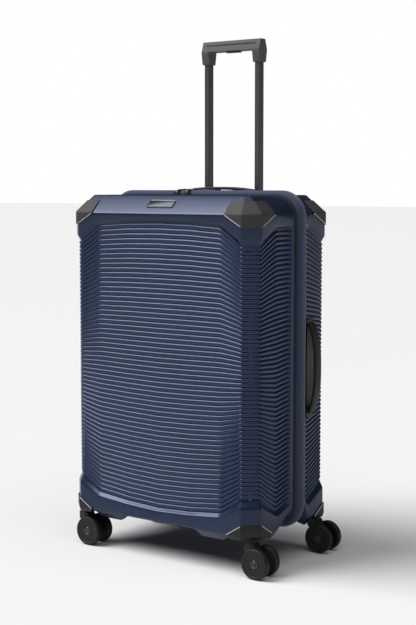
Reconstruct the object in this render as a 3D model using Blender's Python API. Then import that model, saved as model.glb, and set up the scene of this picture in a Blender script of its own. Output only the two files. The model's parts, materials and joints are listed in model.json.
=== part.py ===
"""Hard shell suitcase on four double casters, with its trolley handle pulled out.

Metres, +Z up.  The front (lid) faces -Y and the trolley side faces +Y.  The origin is
on the floor, under the middle of the whole object's box.
"""
import math

import bmesh
import bpy

# ---------------------------------------------------------------- driving dimensions
CASE_WIDTH = 0.468          # across the smooth frame, along X
CASE_DEPTH = 0.286          # front plane to back plane, along Y
WHEEL_HEADROOM = 0.0151     # top of the wheels to the underside of the shells
CASE_HEIGHT = 0.6625        # underside to flat top
WALL = 0.002                # moulded shell wall
GAP = 0.0003                # clearance between pieces that touch

# smooth frame of each half shell
EDGE_CHAMFER = 0.028        # leg of the upright corner facets
TOP_CHAMFER = 0.036         # leg of the 45 degree facets round the top
TOP_CHAMFER_MID = 0.0245    # level of the guard's upper edge on that facet
RIM_TOP_INSET = 0.044       # the top corner is rounder at the rim
RIM_MID_INSET = 0.0156
BOTTOM_CHAMFER = 0.0055     # height of the facet round the underside
BOTTOM_INSET = 0.012
CORNER_INSET = 0.003        # the facet is almost upright at a caster
RIM_BOTTOM_CHAMFER = 0.0275
RIM_LEFT_END = 7            # point of the rim's outline at the top end of the left side
BOTTOM_BORDER = 0.045       # width of the sloped border of the underside
FOOT_DROP = 0.0115          # moulded feet below the underside
FOOT_FRONT = (0.144, 0.132, 0.076, 0.062)   # ramp, sole, sole, ramp: from the side wall
FOOT_SIDE_STEPS = (0.031, 0.021, 0.007, -0.003)     # along the side, from the housing's end

# ribbed field
RECESS = 0.0045             # rib crests below the frame
BACK_RECESS = 0.0030        # shallower on the back half, which holds the trolley tubes
RIB_DEPTH = 0.0022
RIB_COUNT = 58
RIM_FLANGE = 0.008          # smooth strip along the rim
RIM_BEVEL = 0.0065          # slope from that strip down to the ribs
FIELD_BEND_X = 0.0815       # from the side wall to the bend on the face
FIELD_BEND_CLEAR = 0.0055   # from the back half's rim slope to the bend on the side
FIELD_TOP = (0.055, 0.0565, 0.0615, 0.0965, 0.0965, 0.0675)    # below the flat top
FIELD_BOTTOM = (0.032, 0.0355, 0.0440, 0.0775, 0.0775, 0.0405)  # above the underside
FRAME_TOP = (0.047, 0.0485, 0.0515, 0.0815, 0.0815, 0.0575)    # upper edge of the slope
FRAME_BOTTOM = (0.0255, 0.0290, 0.0350, 0.0570, 0.0570, 0.0310)

# opening between the halves
LID_RIM = 0.002             # lid's rim in front of the case's middle plane
BELT_WIDTH = 0.038          # lid's rim to back half's rim
ZIP_HALF = 0.0038           # one toothed tape
ZIP_RISE = 0.0012
ZIP_SINK = 0.0016
BELT_CROWN = 0.0095         # the textile belt bulges out by this much at its middle
BELT_THICKNESS = 0.0018
BELT_SHOULDER = 0.0062      # from each edge to where the crown flattens
BELT_SHOULDER_RISE = 0.66   # share of the crown reached there
HINGE_OUT = 0.0025          # lid's hinge axis beyond half the belt's crown

# corner guards and caster housings
GUARD_BELOW = 0.0244        # lower edge below the ridge
GUARD_REACH_X = 0.0675      # from the side wall, along the face
GUARD_SHORT_Y = 0.0143      # side edge short of the field's bend
GUARD_THICKNESS = 0.0017
HOUSING_RISE = 0.027        # upper edge above the underside
HOUSING_REACH_X = 0.062
HOUSING_SHORT_Y = 0.023     # side edge short of the field's bend
HOUSING_FLARE = 0.006       # wider at the crease than underneath
HOUSING_PLATE = 0.0020
HOUSING_PLATE_DEPTH = 0.037

# casters
CASTER_FROM_SIDE = 0.0215
CASTER_FROM_FACE = 0.0263
CASTER_TRAIL = 0.0223
WHEEL_RADIUS = 0.0302
WHEEL_WIDTH = 0.013
WHEEL_SPACING = 0.0356      # between the middles of a pair
WHEEL_SEGMENTS = 24
AXLE_RADIUS = 0.003
AXLE_HEAD_RADIUS = 0.0052
AXLE_HEAD = 0.0012
RUNNING = 0.0003            # radial play of a wheel or a pin
FORK_ARM = 0.021            # width between the wheels
FORK_HUB_RADIUS = 0.011
FORK_SHOULDER = 0.006       # top of the arm below the neck's top
FORK_HEEL = 0.014           # straight part of the arm's back edge
NECK_RADIUS = 0.0105
NECK_LENGTH = 0.016
PIN_RADIUS = 0.0045
PIN_LENGTH = 0.020
SOCKET_RADIUS = 0.0085
SOCKET_HEIGHT = 0.0205

# trolley handle
TUBE_SPACING = 0.130
TUBE_FROM_FACE = 0.0185     # tube axis in front of the back plane
TUBE_X = 0.012
TUBE_Y = 0.0185
TUBE_WALL = 0.0012
GUIDE_WALL = 0.0008
TUBE_LENGTH = 0.400
TROLLEY_TRAVEL = 0.305
TRAY_DROP = 0.0296          # tray floor below the flat top
GRIP_WIDTH = 0.149
GRIP_TOP_DEPTH = 0.017
GRIP_DEPTH = 0.031
GRIP_FOOT_DEPTH = 0.023
GRIP_BAR = 0.022
GRIP_HEIGHT = 0.048
GRIP_LEG = 0.0185
GRIP_SOCKET = 0.020
BUTTON = (0.034, 0.011, 0.0065)
BUTTON_TRAVEL = 0.003
BUTTON_PROUD = 0.0035
BEZEL_WIDTH = 0.172
BEZEL_FRONT = 0.0187        # from the tube axis to the tray's front wall
BEZEL_WALL = 0.0022
BEZEL_FLOOR = 0.0185
TUBE_FOOT = (0.160, 0.0210)
TUBE_FOOT_RISE = 0.0105     # above the underside

# carry handles
HANDLE_WIDTH = 0.022
HANDLE_THICKNESS = 0.0065
HANDLE_TAB = 0.0085         # thickness of the end that slides in its well
WELL_WALL = 0.0018
WELL_DEPTH = 0.022
FLANGE = 0.0022
TOP_HANDLE_SPAN = 0.190
TOP_HANDLE_SETBACK = 0.0385     # middle behind the back half's rim
TOP_HANDLE_RISE = 0.0165    # crown of the bow above the flat top
SIDE_HANDLE_SPAN = 0.184
SIDE_HANDLE_SETBACK = 0.0285    # middle behind the back half's rim
SIDE_HANDLE_DROP = 0.01675      # middle below the middle of the case
SIDE_HANDLE_RISE = 0.0190   # crown of the bow beyond the side wall
SIDE_BASE_OVERHANG = 0.009

# lock and zip pulls
LOCK_X = (-0.075, 0.014)
LOCK_SETBACK = 0.0025       # front behind the back half's rim
LOCK_DEPTH = 0.0205
LOCK_HEIGHT = 0.0105
DIAL_RADIUS = 0.0052
DIAL_WIDTH = 0.0052
DIAL_PITCH = 0.0075
DIAL_X = -0.0035            # middle dial
DIAL_PROUD = 0.0010
RELEASE_X = -0.0462
RELEASE = (0.0085, 0.0090, 0.0030)
RELEASE_TRAVEL = 0.003
SLIDER_X = (-0.0595, -0.0330)
SLIDER = (0.0125, 0.0078, 0.0034)
SLIDER_EAR = 0.0016
SLIDER_EAR_RISE = 0.0036
PULL_PIN = 0.0009
PULL_ROOT = 0.0016
PULL_SHORT = 0.0045         # a pull is this much shorter than the belt is wide
PULL_WIDTH = 0.0072
PULL_THICKNESS = 0.0018
MOUTH_DEPTH = 0.008

# inside
LINING = 0.0012
LINING_PLAY = 0.0008
LINING_FLOOR = 0.0260       # lining floor above the underside, clear of the sockets
LINING_BACK_CORNER = 0.010
LINING_RIM = 0.002          # lining's edge behind the shell's rim
LINING_TOP = 0.0130         # lining ceiling below the flat top
STRAP_WIDTH = 0.025
STRAP_THICKNESS = 0.0012
STRAP_SETBACK = 0.0060      # behind the back half's rim
STRAP_SPREAD = 0.200        # from the buckle up and down to the anchors
BUCKLE = (0.052, 0.009, 0.034)
BUCKLE_PRONG = 0.014
POCKET = (0.340, 0.0035, 0.480)
POCKET_CORNER = 0.030

BADGE = (0.066, 0.0200)
BADGE_THICKNESS = 0.0012

# ---------------------------------------------------------------- derived sizes
HALF_X = CASE_WIDTH / 2
HALF_Y = CASE_DEPTH / 2
CASE_BOTTOM = 2 * WHEEL_RADIUS + WHEEL_HEADROOM
TOP = CASE_BOTTOM + CASE_HEIGHT
RIDGE = TOP - TOP_CHAMFER
CREASE = CASE_BOTTOM + BOTTOM_CHAMFER
BACK_RIM = BELT_WIDTH - LID_RIM
MIDDLE_Z = CASE_BOTTOM + CASE_HEIGHT / 2
FIELD_BEND_Y = HALF_Y - BACK_RIM - RIM_FLANGE - RIM_BEVEL - FIELD_BEND_CLEAR
GUARD_REACH_Y = FIELD_BEND_Y - GUARD_SHORT_Y
HOUSING_REACH_Y = FIELD_BEND_Y - HOUSING_SHORT_Y
FOOT_SIDE = tuple(HOUSING_REACH_Y + step for step in FOOT_SIDE_STEPS)
TRAY_FLOOR = TOP - TRAY_DROP
GRIP_LOW = TRAY_FLOOR + 2 * GAP + TROLLEY_TRAVEL
GRIP_TOP = GRIP_LOW + GRIP_HEIGHT
TOP_HANDLE_Y = BACK_RIM + TOP_HANDLE_SETBACK
SIDE_HANDLE_Y = BACK_RIM + SIDE_HANDLE_SETBACK
SIDE_HANDLE_Z = MIDDLE_Z - SIDE_HANDLE_DROP
LOCK_Y = (BACK_RIM + LOCK_SETBACK, BACK_RIM + LOCK_SETBACK + LOCK_DEPTH)
PULL_LENGTH = BELT_WIDTH - PULL_SHORT
STRAP_Y = BACK_RIM + STRAP_SETBACK
CASTER_X = HALF_X - CASTER_FROM_SIDE
CASTER_Y = HALF_Y - CASTER_FROM_FACE
NECK_TOP = CASE_BOTTOM - GAP - HOUSING_PLATE - GAP
TROLLEY_Y = HALF_Y - TUBE_FROM_FACE
GUARD_OUT = GAP + GUARD_THICKNESS

# the wheels trail past the right side, so the case stands left of the object's middle
RIGHT_REACH = CASTER_X + CASTER_TRAIL + WHEEL_RADIUS
LEFT_REACH = HALF_X + BELT_CROWN
CASE_X = (LEFT_REACH - RIGHT_REACH) / 2


# ---------------------------------------------------------------- scene helpers
def clear_scene():
    """Start from an empty scene."""
    for item in list(bpy.data.objects):
        bpy.data.objects.remove(item, do_unlink=True)


def make_material(name, colour, roughness, metallic=0.0):
    """One Principled material; each node gets its own."""
    material = bpy.data.materials.new(name)
    material.use_nodes = True
    shader = material.node_tree.nodes["Principled BSDF"]
    shader.inputs["Base Color"].default_value = (*colour, 1.0)
    shader.inputs["Roughness"].default_value = roughness
    shader.inputs["Metallic"].default_value = metallic
    return material


NAVY = ((0.022, 0.036, 0.085), 0.38, 0.0)
BLACK = ((0.016, 0.016, 0.017), 0.42, 0.0)
RUBBER = ((0.012, 0.012, 0.012), 0.60, 0.0)
GREY_METAL = ((0.20, 0.20, 0.21), 0.35, 0.9)
DARK_METAL = ((0.05, 0.05, 0.055), 0.35, 0.8)
STEEL = ((0.45, 0.45, 0.46), 0.30, 1.0)
GRIP_GREY = ((0.055, 0.053, 0.056), 0.50, 0.0)
TEXTILE = ((0.020, 0.032, 0.075), 0.85, 0.0)
DARK_TEXTILE = ((0.010, 0.011, 0.016), 0.90, 0.0)
LINING_CLOTH = ((0.045, 0.047, 0.055), 0.90, 0.0)


def axis_empty(name, origin, parent=None):
    """An empty on a joint's axis; the pieces of the moving body hang from it."""
    empty = bpy.data.objects.new(name, None)
    bpy.context.scene.collection.objects.link(empty)
    empty["origin"] = origin
    base = (0.0, 0.0, 0.0)
    if parent is None:
        base = (-CASE_X, 0.0, 0.0)
    else:
        empty.parent = parent
        base = tuple(parent["origin"])
    empty.location = [origin[i] - base[i] for i in range(3)]
    return empty


def add_node(name, shape, look, parent=None, smooth=False):
    """Make a mesh object from (vertices, faces), given in the case's own coordinates."""
    vertices, faces = shape
    origin = tuple(parent["origin"]) if parent else (-CASE_X, 0.0, 0.0)
    mesh = bpy.data.meshes.new(name)
    local = [[v[i] - origin[i] for i in range(3)] for v in vertices]
    mesh.from_pydata(local, [], faces)
    work = bmesh.new()
    work.from_mesh(mesh)
    bmesh.ops.recalc_face_normals(work, faces=work.faces)
    work.to_mesh(mesh)
    work.free()
    mesh.materials.append(make_material(name, *look))
    if smooth:
        mesh.shade_smooth()
        mesh.set_sharp_from_angle(angle=math.radians(35))
    item = bpy.data.objects.new(name, mesh)
    bpy.context.scene.collection.objects.link(item)
    item.parent = parent
    return item


def add_cutter(name, shape, parent=None):
    """A wire guide that only cuts or joins other pieces."""
    item = add_node(name, shape, BLACK, parent)
    item.hide_render = True
    item.display_type = "WIRE"
    return item


def combine(item, other, operation="DIFFERENCE"):
    """Cut a piece with a guide, or join the guide to it."""
    change = item.modifiers.new(other.name, "BOOLEAN")
    change.operation = operation
    change.solver = "EXACT"
    change.object = other


# ---------------------------------------------------------------- basic shapes
def box(low, high):
    """A plain box between two corners."""
    vertices = [(x, y, z) for x in (low[0], high[0]) for y in (low[1], high[1])
                for z in (low[2], high[2])]
    faces = [(0, 1, 3, 2), (4, 6, 7, 5), (0, 4, 5, 1), (2, 3, 7, 6), (0, 2, 6, 4), (1, 5, 7, 3)]
    return vertices, faces


def prism(outline, low, high, axis):
    """Extrude a flat outline along X, Y or Z; its points are the other two coordinates."""
    count = len(outline)
    vertices = []
    for level in (low, high):
        for first, second in outline:
            point = [first, second]
            point.insert("xyz".index(axis), level)
            vertices.append(tuple(point))
    faces = [tuple(range(count)), tuple(range(2 * count - 1, count - 1, -1))]
    for i in range(count):
        j = (i + 1) % count
        faces.append((i, j, count + j, count + i))
    return vertices, faces


def turned(profile, centre, axis, segments=24, closed=False):
    """Turn (radius, height) points about an axis through centre.

    An open profile starts and ends on the axis; a closed one makes a ring.
    """
    along = "xyz".index(axis)
    across = [i for i in range(3) if i != along]
    vertices = []
    rings = []
    for radius, height in profile:
        ring = []
        steps = 1 if radius == 0 else segments
        for k in range(steps):
            turn = 2 * math.pi * k / segments - math.pi / 2
            point = [0.0, 0.0, 0.0]
            point[along] = centre[along] + height
            point[across[0]] = centre[across[0]] + radius * math.cos(turn)
            point[across[1]] = centre[across[1]] + radius * math.sin(turn)
            ring.append(len(vertices))
            vertices.append(tuple(point))
        rings.append(ring)
    pairs = list(zip(rings, rings[1:]))
    if closed:
        pairs.append((rings[-1], rings[0]))
    faces = []
    for low, high in pairs:
        for k in range(segments):
            m = (k + 1) % segments
            corners = [low[k % len(low)], low[m % len(low)],
                       high[m % len(high)], high[k % len(high)]]
            face = tuple(dict.fromkeys(corners))
            faces.append(face)
    return vertices, faces


def rounded_outline(half_a, half_b, radius, steps=3):
    """A rectangle with round corners, as points round its middle."""
    points = []
    for quarter, (sign_a, sign_b) in enumerate(((1, 1), (-1, 1), (-1, -1), (1, -1))):
        for k in range(steps + 1):
            turn = math.pi / 2 * (quarter + k / steps)
            points.append((sign_a * (half_a - radius) + radius * math.cos(turn),
                           sign_b * (half_b - radius) + radius * math.sin(turn)))
    return points


def shifted(outline, a, b):
    """Move a flat outline."""
    return [(p[0] + a, p[1] + b) for p in outline]


def square_tube(x, y, half_x, half_y, wall, low, high):
    """An upright rectangular tube, open at both ends."""
    outer = [(x - half_x, y - half_y), (x + half_x, y - half_y),
             (x + half_x, y + half_y), (x - half_x, y + half_y)]
    inner = [(x - half_x + wall, y - half_y + wall), (x + half_x - wall, y - half_y + wall),
             (x + half_x - wall, y + half_y - wall), (x - half_x + wall, y + half_y - wall)]
    return ring_prism(outer, inner, low, high)


def ring_prism(outer, inner, low, high):
    """An upright tube between two outlines with the same number of points."""
    count = len(outer)
    vertices = [(p[0], p[1], z) for z in (low, high) for p in outer + inner]
    faces = []
    for i in range(count):
        j = (i + 1) % count
        top = 2 * count
        faces.append((i, j, top + j, top + i))
        faces.append((count + i, count + j, top + count + j, top + count + i))
        faces.append((i, j, count + j, count + i))
        faces.append((top + i, top + j, top + count + j, top + count + i))
    return vertices, faces


def swept_ring(profile, closed):
    """Sweep (y, rise) points round the rim outline; rise is outwards.

    An open strip leaves out the left side.
    """
    stations = rim_outline()
    if not closed:
        stations = stations[RIM_LEFT_END:] + stations[:RIM_LEFT_END]
    vertices = []
    for x, z, out_x, out_z in stations:
        for depth, rise in profile:
            vertices.append((x + out_x * rise, depth, z + out_z * rise))
    size = len(profile)
    faces = []
    count = len(stations)
    for s in range(count if closed else count - 1):
        t = (s + 1) % count
        for k in range(size):
            m = (k + 1) % size
            faces.append((s * size + k, s * size + m, t * size + m, t * size + k))
    if not closed:
        faces.append(tuple(range(size)))
        faces.append(tuple(range((count - 1) * size, count * size)))
    return vertices, faces


# ---------------------------------------------------------------- the rim outline
def rim_outline():
    """The rim's outer outline in X and Z, with the mitred outward direction at each point.

    It runs clockwise seen from the front: top right corner, right side, underside,
    left side, top left corner.
    """
    half = [(HALF_X - RIM_TOP_INSET, TOP), (HALF_X - RIM_MID_INSET, RIDGE + TOP_CHAMFER_MID),
            (HALF_X, RIDGE), (HALF_X, CASE_BOTTOM + RIM_BOTTOM_CHAMFER),
            (HALF_X - RIM_BOTTOM_CHAMFER, CASE_BOTTOM)]
    points = half + [(-x, z) for x, z in reversed(half)]
    # ten points: start of the list is the top right, and point 9 the top left
    result = []
    count = len(points)
    for i, (x, z) in enumerate(points):
        before = points[i - 1]
        after = points[(i + 1) % count]
        normals = []
        for a, b in ((before, (x, z)), ((x, z), after)):
            along = (b[0] - a[0], b[1] - a[1])
            size = math.hypot(*along)
            normals.append((-along[1] / size, along[0] / size))
        mid = (normals[0][0] + normals[1][0], normals[0][1] + normals[1][1])
        scale = 2 / (mid[0] ** 2 + mid[1] ** 2)
        result.append((x, z, mid[0] * scale, mid[1] * scale))
    return result


# ---------------------------------------------------------------- half shells
def facet_leg(inset):
    """Leg of the upright corner facet where the walls are inset; keeps the facet parallel."""
    return max(EDGE_CHAMFER - inset * (2 - math.sqrt(2)), 0.001)


def mix(a, b, t):
    """Linear blend."""
    return a + (b - a) * t


def stepped(value, knots):
    """Read a line through (position, value) knots."""
    if value <= knots[0][0]:
        return knots[0][1]
    for (p0, v0), (p1, v1) in zip(knots, knots[1:]):
        if value <= p1:
            return mix(v0, v1, (value - p0) / (p1 - p0))
    return knots[-1][1]


class Column:
    """One upright line of shell points: on the side at a depth, on the face at an X,
    or at either end of the corner facet."""

    def __init__(self, kind, at, rim, hand=1):
        self.kind = kind
        self.at = at
        self.rim = rim
        self.hand = hand

    def point(self, inset, z):
        """Place of this line where the walls are inset by this much."""
        leg = facet_leg(inset)
        if self.kind == "side":
            x, depth = HALF_X - inset, min(self.at, HALF_Y - inset - leg)
        elif self.kind == "facet_side":
            x, depth = HALF_X - inset, HALF_Y - inset - leg
        elif self.kind == "facet_face":
            x, depth = HALF_X - inset - leg, HALF_Y - inset
        else:
            x, depth = min(self.at, HALF_X - inset - leg), HALF_Y - inset
        return self.hand * x, depth, z

    def rimness(self):
        """1 at the rim strip, 0 from the field's bend onwards."""
        if self.kind != "side":
            return 0.0
        bend = HALF_Y - FIELD_BEND_Y
        strip = self.rim + RIM_FLANGE
        return min(max((bend - self.at) / (bend - strip), 0.0), 1.0)

    def along_face(self, table):
        """Read a table of five levels: middle, quarter, bend, facet, facet, side bend."""
        if self.kind == "face":
            bend = HALF_X - FIELD_BEND_X
            corner = HALF_X - EDGE_CHAMFER
            return stepped(self.at, [(0.0, table[0]), (bend / 2, table[1]),
                                     (bend, table[2]), (corner, table[3])])
        if self.kind == "side":
            return stepped(self.at, [(HALF_Y - FIELD_BEND_Y, table[5]),
                                     (HALF_Y - EDGE_CHAMFER, table[4])])
        return table[3] if self.kind == "facet_face" else table[4]

    def crease(self):
        """Level of the crease above the underside's facet."""
        return mix(CREASE, CASE_BOTTOM + RIM_BOTTOM_CHAMFER, self.rimness())

    def underside(self):
        """Level and inset of the underside's edge, with the feet and the caster corners."""
        if self.kind in ("facet_side", "facet_face"):
            return CASE_BOTTOM, CORNER_INSET
        if self.kind == "face":
            away = HALF_X - self.at
            ramp = FOOT_FRONT
        else:
            away = HALF_Y - self.at
            ramp = FOOT_SIDE
        level = CASE_BOTTOM - FOOT_DROP * stepped(
            away, [(ramp[3], 0.0), (ramp[2], 1.0), (ramp[1], 1.0), (ramp[0], 0.0)])
        inset = mix(BOTTOM_INSET, RIM_BOTTOM_CHAMFER, self.rimness())
        if away < ramp[3] + GAP:
            inset = CORNER_INSET
        return level, inset


def half_columns(rim, fine):
    """Columns of the right half, from the rim round the corner to the middle of the face."""
    bend = HALF_Y - FIELD_BEND_Y
    sides = [rim, rim + RIM_FLANGE, rim + RIM_FLANGE + RIM_BEVEL, bend]
    faces = [HALF_X - FIELD_BEND_X, (HALF_X - FIELD_BEND_X) / 2, 0.0]
    if fine:
        sides += [HALF_Y - away for away in FOOT_SIDE
                  if HALF_Y - away > rim + RIM_FLANGE + RIM_BEVEL + GAP]
        faces += [HALF_X - away for away in FOOT_FRONT]
    columns = [Column("side", at, rim) for at in sorted(sides)]
    columns += [Column("facet_side", 0, rim), Column("facet_face", 0, rim)]
    columns += [Column("face", at, rim) for at in sorted(set(faces), reverse=True)]
    return columns


def both_halves(columns):
    """The same columns on both hands, right rim to left rim."""
    mirrored = [Column(c.kind, c.at, c.rim, -1) for c in reversed(columns[:-1])]
    return columns + mirrored


class Surface:
    """Collects the points and faces of a shell."""

    def __init__(self, side):
        self.side = side
        self.vertices = []
        self.faces = []

    def add(self, point):
        """Add a point given as x, depth towards the face, z."""
        x, depth, z = point
        self.vertices.append((x, self.side * depth, z))
        return len(self.vertices) - 1

    def row(self, columns, inset, level):
        """A row of points; inset and level are read for each column."""
        return [self.add(c.point(inset(c), level(c))) for c in columns]

    def strip(self, upper, lower):
        """Quads between two rows."""
        for i in range(len(upper) - 1):
            self.faces.append((upper[i], upper[i + 1], lower[i + 1], lower[i]))


def shell_skin(surface, rim, face_recess, wall, ribs):
    """One skin of a half shell; returns the points where it meets the rim.

    wall is 0 for the outer skin.  With ribs the field is corrugated.
    """
    coarse = both_halves(half_columns(rim, False))
    slope = math.sqrt(2) * wall
    last = len(coarse) - 1

    def top_inset(c):
        return mix(TOP_CHAMFER, RIM_TOP_INSET, c.rimness()) + (slope - wall)

    def mid_inset(c):
        return mix(TOP_CHAMFER_MID, RIM_MID_INSET, c.rimness()) + slope

    def flat(level):
        return lambda c: level

    top = surface.row(coarse, top_inset, flat(TOP - wall))
    middle = surface.row(coarse, mid_inset, flat(TOP - TOP_CHAMFER + TOP_CHAMFER_MID))
    ridge = surface.row(coarse, flat(wall), flat(RIDGE - (slope - wall)))
    surface.strip(top, middle)
    surface.strip(middle, ridge)

    # the ribbed field, without the two rim columns
    inner = coarse[1:-1]
    strip_ends = (0, len(inner) - 1)

    def field_inset(c, drop):
        is_strip = c.kind == "side" and c.at < rim + RIM_FLANGE + GAP
        recess = face_recess if c.kind == "face" else RECESS
        return wall if is_strip else wall + recess + drop

    rows = [surface.row(inner, flat(wall), lambda c: TOP - c.along_face(FRAME_TOP))]
    steps = 2 * RIB_COUNT if ribs else 1
    for k in range(steps + 1):
        crest = ribs and k % 2 == 1
        drop = 0.0 if crest else RIB_DEPTH
        t = k / steps
        rows.append(surface.row(
            inner, lambda c: field_inset(c, drop),
            lambda c: mix(TOP - c.along_face(FIELD_TOP),
                          CASE_BOTTOM + c.along_face(FIELD_BOTTOM), t)))
    rows.append(surface.row(inner, flat(wall), lambda c: CASE_BOTTOM + c.along_face(FRAME_BOTTOM)))
    surface.strip(ridge[1:-1], rows[0])
    for upper, lower in zip(rows, rows[1:]):
        surface.strip(upper, lower)

    # the smooth bottom of the frame; its edge follows the feet and the casters
    outer_skin = wall == 0
    columns = both_halves(half_columns(rim, True)) if outer_skin else coarse
    if outer_skin:
        crease = surface.row(columns, flat(0.0), lambda c: c.crease())
        edge = surface.row(columns, lambda c: c.underside()[1], lambda c: c.underside()[0])
        border = surface.row(columns, flat(BOTTOM_BORDER), flat(CASE_BOTTOM))
        surface.strip(crease, edge)
        surface.strip(edge, border)
        surface.faces.append(tuple(border))
        under = [edge, border]
    else:
        crease = surface.row(columns, flat(wall), lambda c: c.crease() + wall)
        edge = surface.row(columns, lambda c: mix(BOTTOM_INSET, RIM_BOTTOM_CHAMFER, c.rimness())
                           if c.kind != "facet_side" and c.kind != "facet_face"
                           else CORNER_INSET + slope, flat(CASE_BOTTOM + wall))
        surface.strip(crease, edge)
        surface.faces.append(tuple(edge))
        under = [edge]
    surface.faces.append(tuple(top))

    # flat panels between the field's last row and the crease, one for each plane
    def breaks(row_columns):
        kinds = [c.kind for c in row_columns]
        first = kinds.index("facet_side")
        second = kinds.index("facet_face")
        return first, second, len(kinds) - 1 - second, len(kinds) - 1 - first

    upper = breaks(inner)
    lower = breaks(columns)
    last_row = rows[-1]
    spans_up = [0, *upper, len(inner) - 1]
    spans_low = [1, *lower, len(columns) - 2]
    for i in range(5):
        above = last_row[spans_up[i]:spans_up[i + 1] + 1]
        below = crease[spans_low[i]:spans_low[i + 1] + 1]
        surface.faces.append(tuple(above + below[::-1]))

    # the smooth strip along the rim, one flat panel on each side
    for end, strip_end, rim_end, neighbour in ((0, strip_ends[0], 0, 1),
                                               (-1, strip_ends[1], last, last - 1)):
        line = [row[strip_end] for row in rows]
        crease_end = len(columns) - 1 if end else 0
        crease_next = crease_end - 1 if end else 1
        surface.faces.append((ridge[rim_end], ridge[neighbour], *line,
                              crease[crease_next], crease[crease_end]))
    right = [top[0], middle[0], ridge[0], crease[0]] + [row[0] for row in under]
    left = [top[-1], middle[-1], ridge[-1], crease[-1]] + [row[-1] for row in under]
    return right, left


def half_shell(side, rim, face_recess):
    """A half shell: ribbed outer skin, smooth inner skin, and the flat rim between them."""
    surface = Surface(side)
    right, left = shell_skin(surface, rim, face_recess, 0.0, True)
    right_in, left_in = shell_skin(surface, rim, face_recess, WALL, False)
    for outer, inner in ((right, right_in), (left, left_in)):
        for i in range(4):
            surface.faces.append((outer[i], outer[i + 1], inner[i + 1], inner[i]))
    surface.faces.append((right[0], left[0], left_in[0], right_in[0]))
    surface.faces.append((right[4], right[5], left[5], left[4], left_in[4], right_in[4]))
    return surface.vertices, surface.faces


# ---------------------------------------------------------------- guards and housings
def corner_point(kind, at, inset, z, out):
    """A point of a corner piece, moved outwards by `out` from the shell's walls."""
    column = Column(kind, at, 0.0)
    return column.point(inset - out, z)


def corner_skin(rows, links, caps, side, hand, inner_out, outer_out):
    """A skin over a corner between two offsets from the shell.

    rows lists (kind, at, inset, z, rise) points; links lists its faces; caps is the
    boundary loop.
    """
    vertices = []
    for out in (outer_out, inner_out):
        for kind, at, inset, z, rise in rows:
            x, depth, level = corner_point(kind, at, inset, z + rise * out, out)
            vertices.append((hand * x, side * depth, level))
    size = len(rows)
    faces = [tuple(face) for face in links]
    faces += [tuple(size + i for i in reversed(face)) for face in links]
    for i, a in enumerate(caps):
        b = caps[(i + 1) % len(caps)]
        faces.append((a, b, size + b, size + a))
    return vertices, faces


def corner_guard(side, hand):
    """The six-sided guard over an upper corner."""
    reach_x = HALF_X - GUARD_REACH_X
    reach_y = HALF_Y - GUARD_REACH_Y
    low = RIDGE - GUARD_BELOW
    high = RIDGE + TOP_CHAMFER_MID
    bend = math.tan(math.radians(22.5))
    slant = math.sqrt(2) - 1
    rows = [("facet_face", 0, 0.0, low, 0.0), ("facet_side", 0, 0.0, low, 0.0),
            ("face", reach_x, 0.0, RIDGE, bend), ("facet_face", 0, 0.0, RIDGE, bend),
            ("facet_side", 0, 0.0, RIDGE, bend), ("side", reach_y, 0.0, RIDGE, bend),
            ("face", reach_x, TOP_CHAMFER_MID, high, slant),
            ("facet_face", 0, TOP_CHAMFER_MID, high, slant),
            ("facet_side", 0, TOP_CHAMFER_MID, high, slant),
            ("side", reach_y, TOP_CHAMFER_MID, high, slant)]
    links = [(0, 3, 2), (0, 1, 4, 3), (1, 5, 4), (2, 3, 7, 6), (3, 4, 8, 7), (4, 5, 9, 8)]
    caps = [0, 1, 5, 9, 8, 7, 6, 2]
    return corner_skin(rows, links, caps, side, hand, GAP, GUARD_OUT)


def housing_skin(side, hand):
    """The visible skin of a caster housing, wrapped under the corner."""
    reach_x = HALF_X - HOUSING_REACH_X
    reach_y = HALF_Y - HOUSING_REACH_Y
    top = CASE_BOTTOM + HOUSING_RISE
    rows = [("facet_face", 0, 0.0, top, 0.0), ("facet_side", 0, 0.0, top, 0.0),
            ("face", reach_x, 0.0, CREASE, 0.0), ("facet_face", 0, 0.0, CREASE, 0.0),
            ("facet_side", 0, 0.0, CREASE, 0.0), ("side", reach_y, 0.0, CREASE, 0.0),
            ("face", reach_x + HOUSING_FLARE, CORNER_INSET, CASE_BOTTOM, -1.0),
            ("facet_face", 0, CORNER_INSET, CASE_BOTTOM, -1.0),
            ("facet_side", 0, CORNER_INSET, CASE_BOTTOM, -1.0),
            ("side", reach_y + HOUSING_FLARE, CORNER_INSET, CASE_BOTTOM, -1.0),
            ("face", reach_x + HOUSING_FLARE, HOUSING_PLATE_DEPTH, CASE_BOTTOM, -1.0),
            ("side", reach_y + HOUSING_FLARE, HOUSING_PLATE_DEPTH, CASE_BOTTOM, -1.0)]
    links = [(0, 3, 2), (0, 1, 4, 3), (1, 5, 4), (2, 3, 7, 6), (3, 4, 8, 7), (4, 5, 9, 8),
             (6, 7, 8, 9, 11, 10)]
    caps = [0, 1, 5, 9, 11, 10, 6, 2]
    return corner_skin(rows, links, caps, side, hand, GAP, GAP + HOUSING_PLATE)


# ---------------------------------------------------------------- caster parts
def caster_fork(x, y):
    """Yoke of a double caster: the arm between the wheels."""
    hub_x = x + CASTER_TRAIL
    hub_z = WHEEL_RADIUS
    top = NECK_TOP - FORK_SHOULDER
    outline = [(x - NECK_RADIUS, top), (x - NECK_RADIUS, top - FORK_HEEL)]
    for k in range(9):
        turn = math.radians(200 + 27 * k)
        outline.append((hub_x + FORK_HUB_RADIUS * math.cos(turn),
                        hub_z + FORK_HUB_RADIUS * math.sin(turn)))
    outline.append((x + NECK_RADIUS, top))
    return prism(outline, y - FORK_ARM / 2, y + FORK_ARM / 2, "y")


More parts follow.
